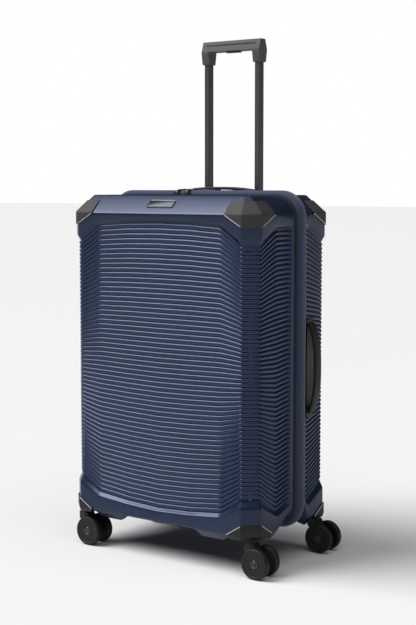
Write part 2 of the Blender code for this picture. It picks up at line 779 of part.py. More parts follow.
def caster_neck(x, y):
    """Round neck and swivel pin above the arm."""
    low = NECK_TOP - NECK_LENGTH
    radius = NECK_RADIUS + GAP
    profile = [(0.0, low), (radius, low), (radius, NECK_TOP), (PIN_RADIUS, NECK_TOP),
               (PIN_RADIUS, NECK_TOP + PIN_LENGTH), (0.0, NECK_TOP + PIN_LENGTH)]
    return turned(profile, (x, y, 0.0), "z", 16)


def wheel_profile(outward):
    """Half section of a wheel as (radius, offset); outward is the side of the hub dish."""
    half = WHEEL_WIDTH / 2
    edge = 0.0014
    dish = AXLE_HEAD + GAP
    bore = AXLE_RADIUS + RUNNING
    points = [(bore, -half), (WHEEL_RADIUS - edge, -half), (WHEEL_RADIUS, edge - half),
              (WHEEL_RADIUS, half - edge), (WHEEL_RADIUS - edge, half),
              (AXLE_HEAD_RADIUS + 2 * GAP, half), (AXLE_HEAD_RADIUS + 2 * GAP, half - dish),
              (bore, half - dish)]
    return [(radius, outward * offset) for radius, offset in points]


def axle_profile():
    """Rivet with a flat head at each end."""
    end = WHEEL_SPACING / 2 + WHEEL_WIDTH / 2
    neck = end - AXLE_HEAD
    return [(0.0, -end), (AXLE_HEAD_RADIUS, -end), (AXLE_HEAD_RADIUS, -neck), (AXLE_RADIUS, -neck),
            (AXLE_RADIUS, neck), (AXLE_HEAD_RADIUS, neck), (AXLE_HEAD_RADIUS, end), (0.0, end)]


def build_caster(name, side, hand, lid):
    """Housing, fork, axle and two wheels of one corner."""
    x, y = hand * CASTER_X, side * CASTER_Y
    holder = lid if side < 0 else None
    housing = add_node("caster_housing_" + name, housing_skin(side, hand), BLACK, holder)
    plate_low = CASE_BOTTOM - GAP - HOUSING_PLATE
    socket = turned([(0.0, plate_low + GAP), (SOCKET_RADIUS, plate_low + GAP),
                     (SOCKET_RADIUS, plate_low + SOCKET_HEIGHT), (0.0, plate_low + SOCKET_HEIGHT)],
                    (x, y, 0.0), "z", 16)
    combine(housing, add_cutter("guide_socket_" + name, socket, holder), "UNION")
    bore_top = NECK_TOP + PIN_LENGTH + GAP
    bore = turned([(0.0, plate_low - GAP), (PIN_RADIUS + RUNNING, plate_low - GAP),
                   (PIN_RADIUS + RUNNING, bore_top), (0.0, bore_top)], (x, y, 0.0), "z", 16)
    combine(housing, add_cutter("guide_socket_bore_" + name, bore, holder))

    swivel = axis_empty("swivel_axis_" + name, (x, y, NECK_TOP), holder)
    fork = add_node("caster_fork_" + name, caster_fork(x, y), BLACK, swivel)
    neck = add_cutter("guide_neck_" + name, caster_neck(x, y), swivel)
    combine(fork, neck, "UNION")
    hub = (x + CASTER_TRAIL, y, WHEEL_RADIUS)
    hole = turned([(0.0, -FORK_ARM), (AXLE_RADIUS + RUNNING, -FORK_ARM),
                   (AXLE_RADIUS + RUNNING, FORK_ARM), (0.0, FORK_ARM)], hub, "y", 12)
    combine(fork, add_cutter("guide_axle_hole_" + name, hole, swivel))
    add_node("axle_" + name, turned(axle_profile(), hub, "y", 12), STEEL, swivel, smooth=True)
    for place, outward in (("front", -1), ("rear", 1)):
        middle = (hub[0], y + outward * WHEEL_SPACING / 2, hub[2])
        spin = axis_empty("spin_axis_" + name + "_" + place, middle, swivel)
        shape = turned(wheel_profile(outward), middle, "y", WHEEL_SEGMENTS, closed=True)
        add_node("wheel_" + name + "_" + place, shape, RUBBER, spin, smooth=True)


# ---------------------------------------------------------------- carry handles
def bow_outline(span, crown, low_end):
    """Side view of a bow handle as (along, rise), with an upright tab at each end."""
    half = span / 2
    inner = half - HANDLE_TAB
    shoulder = FLANGE + 3 * GAP
    outer = []
    under = []
    for k in range(7):
        t = k / 6
        along = -half + span * t
        bow = 1 - (2 * t - 1) ** 2
        outer.append((along, mix(shoulder + HANDLE_THICKNESS * 0.8, crown, bow ** 0.75)))
        along_in = -inner + 2 * inner * t
        under.append((along_in, mix(shoulder, crown - HANDLE_THICKNESS, bow ** 0.75)))
    tab_right = [(half, low_end), (inner, low_end)]
    tab_left = [(-inner, low_end), (-half, low_end)]
    return outer + tab_right + under[::-1] + tab_left


def place_top(point, y):
    """Along and rise of the top handle to X and Z."""
    return point[0], y, TOP + point[1]


def place_side(point, y):
    """Along and rise of the side handle to Z and X."""
    return HALF_X - RECESS + point[1], y, SIDE_HANDLE_Z + point[0]


def placed_prism(outline, middle, width, place):
    """Extrude a handle outline across the handle."""
    count = len(outline)
    vertices = [place(p, middle + s * width / 2) for s in (-1, 1) for p in outline]
    faces = [tuple(range(count)), tuple(range(count, 2 * count))]
    for i in range(count):
        j = (i + 1) % count
        faces.append((i, j, count + j, count + i))
    return vertices, faces


def rectangle(along_low, along_high, rise_low, rise_high):
    """Outline of a box for placed_prism."""
    return [(along_low, rise_low), (along_high, rise_low),
            (along_high, rise_high), (along_low, rise_high)]


def well_span(span, sign, grow):
    """Extent of the well round one end tab."""
    ends = sorted((sign * (span / 2 - HANDLE_TAB), sign * span / 2))
    return ends[0] - grow, ends[1] + grow


def add_wells(item, name, span, middle, place, signs, shells):
    """Give a handle's base its wells, and let them through the shell and the lining."""
    play = GAP + 0.0002
    for sign in signs:
        tag = name + ("_high" if sign > 0 else "_low")
        low, high = well_span(span, sign, play + WELL_WALL)
        width = HANDLE_WIDTH + 2 * (play + WELL_WALL)
        shell_box = rectangle(low - GAP, high + GAP, -WELL_DEPTH - GAP, FLANGE * 2)
        hole = add_cutter("guide_hole_" + tag,
                          placed_prism(shell_box, middle, width + 2 * GAP, place))
        for shell in shells:
            combine(shell, hole)
        well = rectangle(low, high, -WELL_DEPTH, FLANGE - GAP)
        combine(item, add_cutter("guide_well_" + tag, placed_prism(well, middle, width, place)),
                "UNION")
        low, high = well_span(span, sign, play)
        pocket = rectangle(low, high, WELL_WALL - WELL_DEPTH, FLANGE * 2)
        combine(item, add_cutter("guide_pocket_" + tag,
                                 placed_prism(pocket, middle, HANDLE_WIDTH + 2 * play, place)))


def build_top_handle(shells):
    """Low bow on top of the back half, sliding up in two brackets."""
    axis = axis_empty("top_handle_axis", (0.0, TOP_HANDLE_Y, TOP))
    low_end = -(WELL_DEPTH - WELL_WALL - 3 * GAP)
    bow = bow_outline(TOP_HANDLE_SPAN, TOP_HANDLE_RISE, low_end)
    add_node("top_handle_grip", placed_prism(bow, TOP_HANDLE_Y, HANDLE_WIDTH, place_top),
             BLACK, axis)
    for name, sign in (("left", -1), ("right", 1)):
        low, high = well_span(TOP_HANDLE_SPAN, sign, WELL_WALL + 0.004)
        plate = placed_prism(rectangle(low, high, GAP, FLANGE), TOP_HANDLE_Y,
                             HANDLE_WIDTH + 2 * WELL_WALL + 0.006, place_top)
        bracket = add_node("top_handle_bracket_" + name, plate, BLACK)
        add_wells(bracket, "top_" + name, TOP_HANDLE_SPAN, TOP_HANDLE_Y, place_top, (sign,), shells)


def build_side_handle(shells):
    """Bowed grip on the right side, pulling out of one long base plate."""
    seat = HALF_X - RECESS
    axis = axis_empty("side_handle_axis", (seat, SIDE_HANDLE_Y, SIDE_HANDLE_Z))
    low_end = -(WELL_DEPTH - WELL_WALL - 3 * GAP)
    bow = bow_outline(SIDE_HANDLE_SPAN, SIDE_HANDLE_RISE + RECESS, low_end)
    add_node("side_handle_grip", placed_prism(bow, SIDE_HANDLE_Y, HANDLE_WIDTH, place_side),
             BLACK, axis)
    reach = SIDE_HANDLE_SPAN / 2 + SIDE_BASE_OVERHANG
    plate = placed_prism(rectangle(-reach, reach, GAP, FLANGE), SIDE_HANDLE_Y,
                         HANDLE_WIDTH + 2 * WELL_WALL + 2 * GAP, place_side)
    base = add_node("side_handle_base", plate, BLACK)
    add_wells(base, "side", SIDE_HANDLE_SPAN, SIDE_HANDLE_Y, place_side, (-1, 1), shells)


# ---------------------------------------------------------------- trolley handle
def build_trolley(back_shell):
    """Bezel, guide tubes and foot in the back half; sliding tubes, grip and button."""
    y = TROLLEY_Y
    front = y - BEZEL_FRONT
    floor_low = TRAY_FLOOR - BEZEL_FLOOR
    half = BEZEL_WIDTH / 2
    notch = box((-half - GAP, front - GAP, floor_low - GAP), (half + GAP, HALF_Y + 0.01, TOP + 0.01))
    combine(back_shell, add_cutter("guide_bezel_notch", notch))
    outline = [(front, floor_low), (HALF_Y, floor_low), (HALF_Y, RIDGE),
               (HALF_Y - TOP_CHAMFER, TOP), (front, TOP)]
    bezel = add_node("trolley_bezel", prism(outline, -half, half, "x"), BLACK)
    tray = box((BEZEL_WALL - half, front + BEZEL_WALL, TRAY_FLOOR),
               (half - BEZEL_WALL, HALF_Y + 0.01, TOP + 0.01))
    combine(bezel, add_cutter("guide_tray", tray))

    slide = axis_empty("trolley_axis", (0.0, y, TRAY_FLOOR))
    grip_bar = GRIP_TOP - GRIP_BAR
    half_top, half_mid, half_low = GRIP_TOP_DEPTH / 2, GRIP_DEPTH / 2, GRIP_FOOT_DEPTH / 2
    section = [(y - half_top, GRIP_TOP), (y - half_mid, grip_bar), (y - half_low, GRIP_LOW),
               (y + half_low, GRIP_LOW), (y + half_mid, grip_bar), (y + half_top, GRIP_TOP)]
    grip = add_node("trolley_grip", prism(section, -GRIP_WIDTH / 2, GRIP_WIDTH / 2, "x"),
                    GRIP_GREY, slide)
    inside = GRIP_WIDTH / 2 - GRIP_LEG
    gap_box = box((-inside, y - GRIP_DEPTH, GRIP_LOW - 0.01), (inside, y + GRIP_DEPTH, grip_bar))
    combine(grip, add_cutter("guide_finger_gap", gap_box, slide))
    pocket_top = grip_bar + BUTTON[2] - BUTTON_PROUD + BUTTON_TRAVEL + GAP
    pocket = box((-BUTTON[0] / 2 - GAP, y - BUTTON[1] / 2 - GAP, grip_bar - 0.001),
                 (BUTTON[0] / 2 + GAP, y + BUTTON[1] / 2 + GAP, pocket_top))
    combine(grip, add_cutter("guide_button_pocket", pocket, slide))
    button_low = grip_bar - BUTTON_PROUD
    press = axis_empty("button_axis", (0.0, y, button_low), slide)
    button = box((-BUTTON[0] / 2, y - BUTTON[1] / 2, button_low),
                 (BUTTON[0] / 2, y + BUTTON[1] / 2, button_low + BUTTON[2]))
    add_node("release_button", button, BLACK, press)

    guide_x = TUBE_X / 2 + GAP + GUIDE_WALL
    guide_y = TUBE_Y / 2 + GAP + GUIDE_WALL
    foot_low = CASE_BOTTOM + TUBE_FOOT_RISE
    foot_top = foot_low + TUBE_FOOT[1]
    for name, sign in (("left", -1), ("right", 1)):
        x = sign * TUBE_SPACING / 2
        hole = box((x - TUBE_X / 2 - GAP, y - TUBE_Y / 2 - GAP, floor_low - 0.01),
                   (x + TUBE_X / 2 + GAP, y + TUBE_Y / 2 + GAP, TRAY_FLOOR + 0.01))
        combine(bezel, add_cutter("guide_bezel_hole_" + name, hole))
        add_node("guide_tube_" + name,
                 square_tube(x, y, guide_x, guide_y, GUIDE_WALL, foot_top + GAP, floor_low - GAP),
                 DARK_METAL)
        socket_top = GRIP_LOW + GRIP_SOCKET
        socket = box((x - TUBE_X / 2 - GAP, y - TUBE_Y / 2 - GAP, GRIP_LOW - 0.001),
                     (x + TUBE_X / 2 + GAP, y + TUBE_Y / 2 + GAP, socket_top))
        combine(grip, add_cutter("guide_grip_socket_" + name, socket, slide))
        tube_top = socket_top - GAP
        add_node("slide_tube_" + name,
                 square_tube(x, y, TUBE_X / 2, TUBE_Y / 2, TUBE_WALL, tube_top - TUBE_LENGTH,
                             tube_top), GREY_METAL, slide)
    foot = box((-TUBE_FOOT[0] / 2, y - guide_y, foot_low), (TUBE_FOOT[0] / 2, y + guide_y, foot_top))
    add_node("trolley_tube_foot", foot, BLACK)


# ---------------------------------------------------------------- zip, belt and lock
def zip_levels():
    """Y of the lid-side tape, the belt-side tape and the belt."""
    start = -LID_RIM
    middle = start + ZIP_HALF
    end = middle + ZIP_HALF
    return (start + GAP, middle), (middle + GAP, end), (end + GAP, start + BELT_WIDTH - GAP)


def build_belt(lid):
    """Textile belt round the case, the two zip tapes and the fabric hinge on the left."""
    front, back, belt = zip_levels()
    for name, (low, high), parent in (("zip_tape_front", front, lid), ("zip_tape_back", back, None)):
        profile = [(low, -ZIP_SINK), (high, -ZIP_SINK), (high, ZIP_RISE), (low, ZIP_RISE)]
        add_node(name, swept_ring(profile, closed=False), DARK_TEXTILE, parent)
    low, high = belt
    levels = [(low, ZIP_RISE / 2), (low + BELT_SHOULDER, BELT_CROWN * BELT_SHOULDER_RISE),
              ((low + high) / 2, BELT_CROWN), (high - BELT_SHOULDER, BELT_CROWN * BELT_SHOULDER_RISE),
              (high, ZIP_RISE / 2)]
    profile = levels + [(y, rise - BELT_THICKNESS) for y, rise in reversed(levels)]
    add_node("zip_belt", swept_ring(profile, closed=True), TEXTILE)
    hinge = box((-HALF_X - ZIP_RISE, front[0], CASE_BOTTOM + RIM_BOTTOM_CHAMFER + ZIP_SINK),
                (-HALF_X + ZIP_SINK, back[1], RIDGE - ZIP_SINK))
    add_node("hinge_tape", hinge, TEXTILE)


def build_zip_pulls():
    """Two sliders on the top run of the zip, each with a pull that lies over the belt."""
    y = -LID_RIM + ZIP_HALF
    low = TOP + ZIP_RISE + GAP
    high = low + SLIDER[2]
    hinge_z = high + PULL_ROOT + 2 * GAP
    crown = TOP + BELT_CROWN + 2 * GAP
    ear_in = PULL_WIDTH / 2 + GAP
    ear_out = ear_in + SLIDER_EAR
    for name, x in zip(("left", "right"), SLIDER_X):
        run = axis_empty("zip_slider_axis_" + name, (x, y, low))
        slider = add_node("zip_slider_" + name,
                          box((x - SLIDER[0] / 2, y - SLIDER[1] / 2, low),
                              (x + SLIDER[0] / 2, y + SLIDER[1] / 2, high)), DARK_METAL, run)
        for tag, sign in (("a", -1), ("b", 1)):
            ends = sorted((x + sign * ear_in, x + sign * ear_out))
            ear = box((ends[0], y - 0.0021, high - GAP), (ends[1], y + 0.0021, high + SLIDER_EAR_RISE))
            guide = add_cutter("guide_ear_" + name + "_" + tag, ear, run)
            combine(slider, guide, "UNION")
        eye = turned([(0.0, -ear_out - GAP), (PULL_PIN + GAP, -ear_out - GAP),
                      (PULL_PIN + GAP, ear_out + GAP), (0.0, ear_out + GAP)],
                     (x, y, hinge_z), "x", 8)
        combine(slider, add_cutter("guide_eye_" + name, eye, run))
        hinge = axis_empty("zip_pull_axis_" + name, (x, y, hinge_z), run)
        end = y + PULL_LENGTH
        root = [(y + PULL_ROOT * math.cos(math.radians(a)), hinge_z + PULL_ROOT
                 * math.sin(math.radians(a))) for a in (90, 135, 180, 225, 270)]
        outline = root + [(y + 0.0150, crown), (end, crown), (end, crown + PULL_THICKNESS),
                          (y + 0.0140, crown + PULL_THICKNESS)]
        pull = add_node("zip_pull_" + name,
                        prism(outline, x - PULL_WIDTH / 2, x + PULL_WIDTH / 2, "x"),
                        DARK_METAL, hinge)
        pin = turned([(0.0, -ear_out), (PULL_PIN, -ear_out), (PULL_PIN, ear_out), (0.0, ear_out)],
                     (x, y, hinge_z), "x", 8)
        combine(pull, add_cutter("guide_pin_" + name, pin, hinge), "UNION")


def build_lock():
    """Combination lock on top of the back half: body, three number wheels, release slide."""
    top = TOP + LOCK_HEIGHT
    body = add_node("lock_body", box((LOCK_X[0], LOCK_Y[0], TOP + GAP), (LOCK_X[1], LOCK_Y[1], top)),
                    DARK_METAL)
    mouth_low = TOP + BELT_CROWN - 0.0035
    for name, x in zip(("left", "right"), SLIDER_X):
        half = PULL_WIDTH / 2 + 0.0008
        mouth = box((x - half, LOCK_Y[0] - 0.001, mouth_low),
                    (x + half, LOCK_Y[0] + MOUTH_DEPTH, top + 0.001))
        combine(body, add_cutter("guide_mouth_" + name, mouth))
    middle_y = (LOCK_Y[0] + LOCK_Y[1]) / 2
    dial_z = top + DIAL_PROUD - DIAL_RADIUS
    for k, name in enumerate(("left", "middle", "right")):
        x = DIAL_X + (k - 1) * DIAL_PITCH
        half = DIAL_WIDTH / 2 + GAP
        reach = DIAL_RADIUS + GAP
        slot = box((x - half, middle_y - reach, dial_z - DIAL_RADIUS - GAP),
                   (x + half, middle_y + reach, top + 0.001))
        combine(body, add_cutter("guide_dial_slot_" + name, slot))
        axis = axis_empty("dial_axis_" + name, (x, middle_y, dial_z))
        ends = (-DIAL_WIDTH / 2, DIAL_WIDTH / 2)
        profile = [(0.0, ends[0]), (DIAL_RADIUS, ends[0]), (DIAL_RADIUS, ends[1]), (0.0, ends[1])]
        add_node("lock_dial_" + name, turned(profile, (x, middle_y, dial_z), "x", 20), BLACK, axis)
    y = LOCK_Y[1] - RELEASE[1] / 2 - 0.0015
    low = top - RELEASE[2] + 0.0010
    recess = box((RELEASE_X - RELEASE[0] / 2 - GAP, y - RELEASE[1] / 2 - GAP, low - GAP),
                 (RELEASE_X + RELEASE[0] / 2 + RELEASE_TRAVEL + GAP, y + RELEASE[1] / 2 + GAP,
                  top + 0.001))
    combine(body, add_cutter("guide_release_recess", recess))
    axis = axis_empty("lock_release_axis", (RELEASE_X, y, low))
    add_node("lock_release", box((RELEASE_X - RELEASE[0] / 2, y - RELEASE[1] / 2, low),
                                 (RELEASE_X + RELEASE[0] / 2, y + RELEASE[1] / 2, low + RELEASE[2])),
             STEEL, axis)


# ---------------------------------------------------------------- inside and badge
def lining_tub(side, rim, depth, corner):
    """Fabric tub inside a half shell, open at the rim."""
    surface = Surface(side)
    loops = []
    low = CASE_BOTTOM + LINING_FLOOR
    high = TOP - LINING_TOP
    base = HALF_X - (RECESS + RIB_DEPTH + WALL + LINING_PLAY)
    ceiling = TOP_CHAMFER - LINING_TOP + 2 * WALL - (HALF_X - base) + LINING_PLAY
    for grow in (0.0, LINING):
        rows = [(high - grow, ceiling), (high - grow - ceiling, 0.0), (low + grow, 0.0)]
        loop = []
        for z, inset in rows:
            x = base - grow - inset
            far = min(depth - grow, depth - grow - inset + max(0.0, HALF_Y - depth - 0.02))
            plan = [(x, rim), (x, far - corner), (x - corner, far)]
            plan += [(-a, b) for a, b in reversed(plan)]
            loop.append([surface.add((a, b, z)) for a, b in plan])
        for upper, lower in zip(loop, loop[1:]):
            surface.strip(upper, lower)
        surface.faces.append(tuple(loop[0]))
        surface.faces.append(tuple(loop[-1]))
        loops.append(loop)
    outer, inner = loops
    for end in (0, -1):
        for k in range(2):
            surface.faces.append((outer[k][end], outer[k + 1][end],
                                  inner[k + 1][end], inner[k][end]))
    for k in (0, -1):
        surface.faces.append((outer[k][0], outer[k][-1], inner[k][-1], inner[k][0]))
    return surface.vertices, surface.faces


def build_inside(lid):
    """Linings, pocket, packing straps and their clip; returns the back lining."""
    skin = RECESS + RIB_DEPTH + WALL + LINING_PLAY
    add_node("front_lining", lining_tub(-1, LID_RIM + LINING_RIM, HALF_Y - skin, EDGE_CHAMFER),
             LINING_CLOTH, lid)
    back_depth = TROLLEY_Y - BEZEL_FRONT - 3 * GAP
    back = add_node("back_lining", lining_tub(1, BACK_RIM + LINING_RIM, back_depth,
                                              LINING_BACK_CORNER), LINING_CLOTH)
    floor = -(HALF_Y - skin - LINING - GAP)
    panel = shifted(rounded_outline(POCKET[0] / 2, POCKET[2] / 2, POCKET_CORNER), 0.0, MIDDLE_Z)
    add_node("front_pocket", prism(panel, floor, floor + POCKET[1], "y"), LINING_CLOTH, lid)

    reach = HALF_X - skin - LINING - LINING_PLAY
    start = BUCKLE[0] / 2 + 2 * GAP
    half = STRAP_WIDTH / 2
    cut = 0.6 * STRAP_WIDTH
    for name, sign in (("left", -1), ("right", 1)):
        outline = [(sign * reach, MIDDLE_Z + STRAP_SPREAD + cut),
                   (sign * reach, MIDDLE_Z + STRAP_SPREAD - cut),
                   (sign * (start + 1.2 * STRAP_WIDTH), MIDDLE_Z),
                   (sign * reach, MIDDLE_Z - STRAP_SPREAD + cut),
                   (sign * reach, MIDDLE_Z - STRAP_SPREAD - cut),
                   (sign * start, MIDDLE_Z - half), (sign * start, MIDDLE_Z + half)]
        add_node("packing_strap_" + name,
                 prism(outline, STRAP_Y, STRAP_Y + STRAP_THICKNESS, "y"), DARK_TEXTILE)
    y = STRAP_Y + STRAP_THICKNESS / 2
    half_y, half_z = BUCKLE[1] / 2, BUCKLE[2] / 2
    socket = add_node("strap_buckle_socket",
                      box((GAP, y - half_y, MIDDLE_Z - half_z),
                          (BUCKLE[0] / 2, y + half_y, MIDDLE_Z + half_z)), BLACK)
    plug = add_node("strap_buckle_plug",
                    box((-BUCKLE[0] / 2, y - half_y, MIDDLE_Z - half_z),
                        (-GAP, y + half_y, MIDDLE_Z + half_z)), BLACK)
    for tag, sign in (("a", -1), ("b", 1)):
        z = MIDDLE_Z + sign * BUCKLE[2] / 4
        hole = box((-GAP, y - 0.0026, z - 0.0046), (BUCKLE_PRONG + GAP, y + 0.0026, z + 0.0046))
        combine(socket, add_cutter("guide_prong_hole_" + tag, hole))
        prong = box((-2 * GAP, y - 0.0022, z - 0.0042), (BUCKLE_PRONG, y + 0.0022, z + 0.0042))
        combine(plug, add_cutter("guide_prong_" + tag, prong), "UNION")
    return back


def build_badge(lid):
    """Blank plate on the facet above the lid's face."""
    slope = math.sqrt(0.5)
    middle = (0.0, -(HALF_Y - TOP_CHAMFER / 2), RIDGE + TOP_CHAMFER / 2)
    vertices = []
    for out in (GAP, GAP + BADGE_THICKNESS):
        for u, v in rounded_outline(BADGE[0] / 2, BADGE[1] / 2, 0.003, 2):
            vertices.append((middle[0] + u, middle[1] + slope * (v - out),
                             middle[2] + slope * (v + out)))
    count = len(vertices) // 2
    faces = [tuple(range(count)), tuple(range(count, 2 * count))]
    faces += [(i, (i + 1) % count, count + (i + 1) % count, count + i) for i in range(count)]
    add_node("badge", (vertices, faces), DARK_METAL, lid)


# ---------------------------------------------------------------- the whole object
def build_shells(lid):
    """The two half shells with the holes for the caster sockets; returns the back one."""
    front = add_node("front_shell", half_shell(-1, LID_RIM, RECESS), NAVY, lid)
    back = add_node("back_shell", half_shell(1, BACK_RIM, BACK_RECESS), NAVY)
    for shell, side, parent in ((front, -1, lid), (back, 1, None)):
        for tag, hand in (("left", -1), ("right", 1)):
            radius = SOCKET_RADIUS + GAP
            hole = turned([(0.0, CASE_BOTTOM - 0.002), (radius, CASE_BOTTOM - 0.002),
                           (radius, CASE_BOTTOM + SOCKET_HEIGHT + 0.002),
                           (0.0, CASE_BOTTOM + SOCKET_HEIGHT + 0.002)],
                          (hand * CASTER_X, side * CASTER_Y, 0.0), "z", 16)
            name = "guide_socket_hole_" + ("front_" if side < 0 else "back_") + tag
            combine(shell, add_cutter(name, hole, parent))
    return back


def main():
    """Build every piece."""
    clear_scene()
    hinge_x = -(HALF_X + BELT_CROWN / 2 + HINGE_OUT)
    lid = axis_empty("lid_axis", (hinge_x, -LID_RIM, CASE_BOTTOM))
    back = build_shells(lid)
    back_lining = build_inside(lid)
    for name, side, hand in (("front_left", -1, -1), ("front_right", -1, 1),
                             ("back_left", 1, -1), ("back_right", 1, 1)):
        add_node("corner_guard_" + name, corner_guard(side, hand), BLACK, lid if side < 0 else None)
        build_caster(name, side, hand, lid)
    build_top_handle((back, back_lining))
    build_side_handle((back, back_lining))
    build_trolley(back)
    build_belt(lid)
    build_zip_pulls()
    build_lock()
    build_badge(lid)


main()
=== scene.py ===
"""Looks of a hard shell suitcase on double casters, built round its fixed frame."""

import json
import math

import bmesh
import bpy
from bpy.props import FloatProperty, FloatVectorProperty, IntProperty, PointerProperty
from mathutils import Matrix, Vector


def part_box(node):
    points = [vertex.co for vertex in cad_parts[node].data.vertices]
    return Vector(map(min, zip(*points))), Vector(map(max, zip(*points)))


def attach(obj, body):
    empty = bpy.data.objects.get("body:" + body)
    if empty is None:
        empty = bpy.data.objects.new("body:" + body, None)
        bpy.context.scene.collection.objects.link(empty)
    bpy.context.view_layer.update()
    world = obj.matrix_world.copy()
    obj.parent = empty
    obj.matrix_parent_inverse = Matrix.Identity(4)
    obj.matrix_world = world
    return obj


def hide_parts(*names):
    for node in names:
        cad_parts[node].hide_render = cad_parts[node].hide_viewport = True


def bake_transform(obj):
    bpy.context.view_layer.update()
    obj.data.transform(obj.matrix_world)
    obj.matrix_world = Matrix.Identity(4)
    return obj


bl_info = {
    "name": "Hard shell suitcase",
    "version": (1, 0, 0),
    "blender": (4, 5, 0),
    "location": "3D View > Sidebar > Suitcase",
    "description": "Ribbed shells, belt, zip, casters, handles and lining of a wheeled case",
    "category": "Add Mesh",
}

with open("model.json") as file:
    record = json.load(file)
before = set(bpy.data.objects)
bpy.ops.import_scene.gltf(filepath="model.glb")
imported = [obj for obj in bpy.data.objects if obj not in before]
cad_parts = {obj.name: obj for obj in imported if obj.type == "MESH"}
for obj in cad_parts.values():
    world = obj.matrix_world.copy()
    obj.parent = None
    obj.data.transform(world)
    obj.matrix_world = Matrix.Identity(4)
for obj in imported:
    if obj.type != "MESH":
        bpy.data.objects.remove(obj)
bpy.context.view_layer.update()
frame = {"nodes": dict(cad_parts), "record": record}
BODY_OF = {node: body for body, nodes in frame["record"]["behaviour"]["bodies"].items()
           for node in nodes}

# ------------------------------------------------------------ the frame's own places
BACK_LOW, BACK_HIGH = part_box("back_shell")
FRONT_LOW, FRONT_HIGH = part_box("front_shell")
MIDDLE_X = (BACK_LOW.x + BACK_HIGH.x) / 2
HALF_X = (BACK_HIGH.x - BACK_LOW.x) / 2
HALF_Y = BACK_HIGH.y
TOP = BACK_HIGH.z
LID_RIM = -FRONT_HIGH.y
BACK_RIM = BACK_LOW.y
FOOT_DROP = 0.0115
UNDERSIDE = BACK_LOW.z + FOOT_DROP
GAP = 0.0003

# the half shells' shape, as distances from the walls, the top and the underside
EDGE_CHAMFER = 0.028
TOP_CHAMFER = 0.036
RIDGE = TOP - TOP_CHAMFER
GUARD_BAND = 0.0245
RIM_TOP_RADIUS = 0.044
RIM_LOW_RADIUS = 0.042
CREASE_RISE = 0.0055
BOTTOM_INSET = 0.012
CORNER_INSET = 0.003
BOTTOM_BORDER = 0.045
FOOT_FRONT = (0.144, 0.132, 0.076, 0.062)
FOOT_SIDE = (0.095, 0.085, 0.071, 0.061)
SIDE_RECESS = 0.0045
BACK_RECESS = 0.0030
RIM_FLANGE = 0.008
RIM_BEVEL = 0.0065
FIELD_BEND_X = 0.0815
FIELD_BEND_Y = 0.087
FIELD_TOP = (0.055, 0.0565, 0.0615, 0.0965, 0.0965, 0.0675)
FIELD_LOW = (0.032, 0.0355, 0.0440, 0.0775, 0.0775, 0.0405)
FRAME_TOP = (0.047, 0.0485, 0.0515, 0.0815, 0.0815, 0.0575)
FRAME_LOW = (0.0255, 0.0290, 0.0350, 0.0570, 0.0570, 0.0310)
FIELD_LOW_AT_RIM = 0.0530
FRAME_LOW_AT_RIM = 0.0470
EIGHTH = math.tan(math.radians(22.5))


# ------------------------------------------------------------ what a user may change
def colour(name, about, value):
    """A colour setting."""
    return FloatVectorProperty(name=name, description=about, default=value, size=3,
                               subtype="COLOR", min=0.0, max=1.0)


def length(name, about, value):
    """A size setting in metres."""
    return FloatProperty(name=name, description=about, default=value, min=0.0, unit="LENGTH",
                         precision=4)


class CaseSizes(bpy.types.PropertyGroup):
    """Sizes of the visible detail."""
    rib_count: IntProperty(name="Ribs", description="Ribs on each half shell", default=58, min=4)
    rib_depth: length("Rib depth", "Height of a rib above its valley", 0.0022)
    wall: length("Wall", "Thickness of the moulded shells", 0.0018)
    rounding: length("Corner rounding", "Radius along the shells' facets", 0.0075)
    tooth_pitch: length("Tooth pitch", "Spacing of the teeth on one zip tape", 0.0026)
    tooth: length("Tooth", "Length of a zip tooth across the tape", 0.0030)
    stitch_pitch: length("Stitch pitch", "Spacing of the belt's stitches", 0.0046)
    stitch: length("Stitch", "Length of one stitch", 0.0032)
    edge_line: length("Edge line", "Width of the bright line on guards and housings", 0.0019)


class CaseColours(bpy.types.PropertyGroup):
    """Colours of the finishes."""
    shell: colour("Shell", "Satin moulded shell", (0.0080, 0.0175, 0.0500))
    guard: colour("Guards", "Corner guards", (0.0105, 0.0105, 0.0110))
    moulding: colour("Mouldings", "Housings, brackets and forks", (0.0070, 0.0070, 0.0075))
    handle: colour("Handles", "Carry handles", (0.0075, 0.0075, 0.0080))
    grip: colour("Trolley grip", "Grip of the trolley handle", (0.030, 0.029, 0.031))
    tube: colour("Tubes", "Anodised trolley tubes", (0.105, 0.103, 0.108))
    plated: colour("Plated metal", "Lock, sliders, pulls and badge", (0.11, 0.11, 0.12))
    steel: colour("Steel", "Axles and release", (0.55, 0.55, 0.56))
    line: colour("Edge line", "Bright line on the guards", (0.36, 0.36, 0.35))
    tread: colour("Tread", "Wheels", (0.0070, 0.0070, 0.0070))
    belt: colour("Belt", "Textile belt", (0.0125, 0.0230, 0.0600))
    tape: colour("Tape", "Zip tapes and webbing", (0.012, 0.014, 0.024))
    thread: colour("Thread", "Stitching", (0.028, 0.040, 0.085))
    lining: colour("Lining", "Inner cloth", (0.050, 0.053, 0.064))
    floor: colour("Floor", "Studio floor", (0.62, 0.62, 0.62))


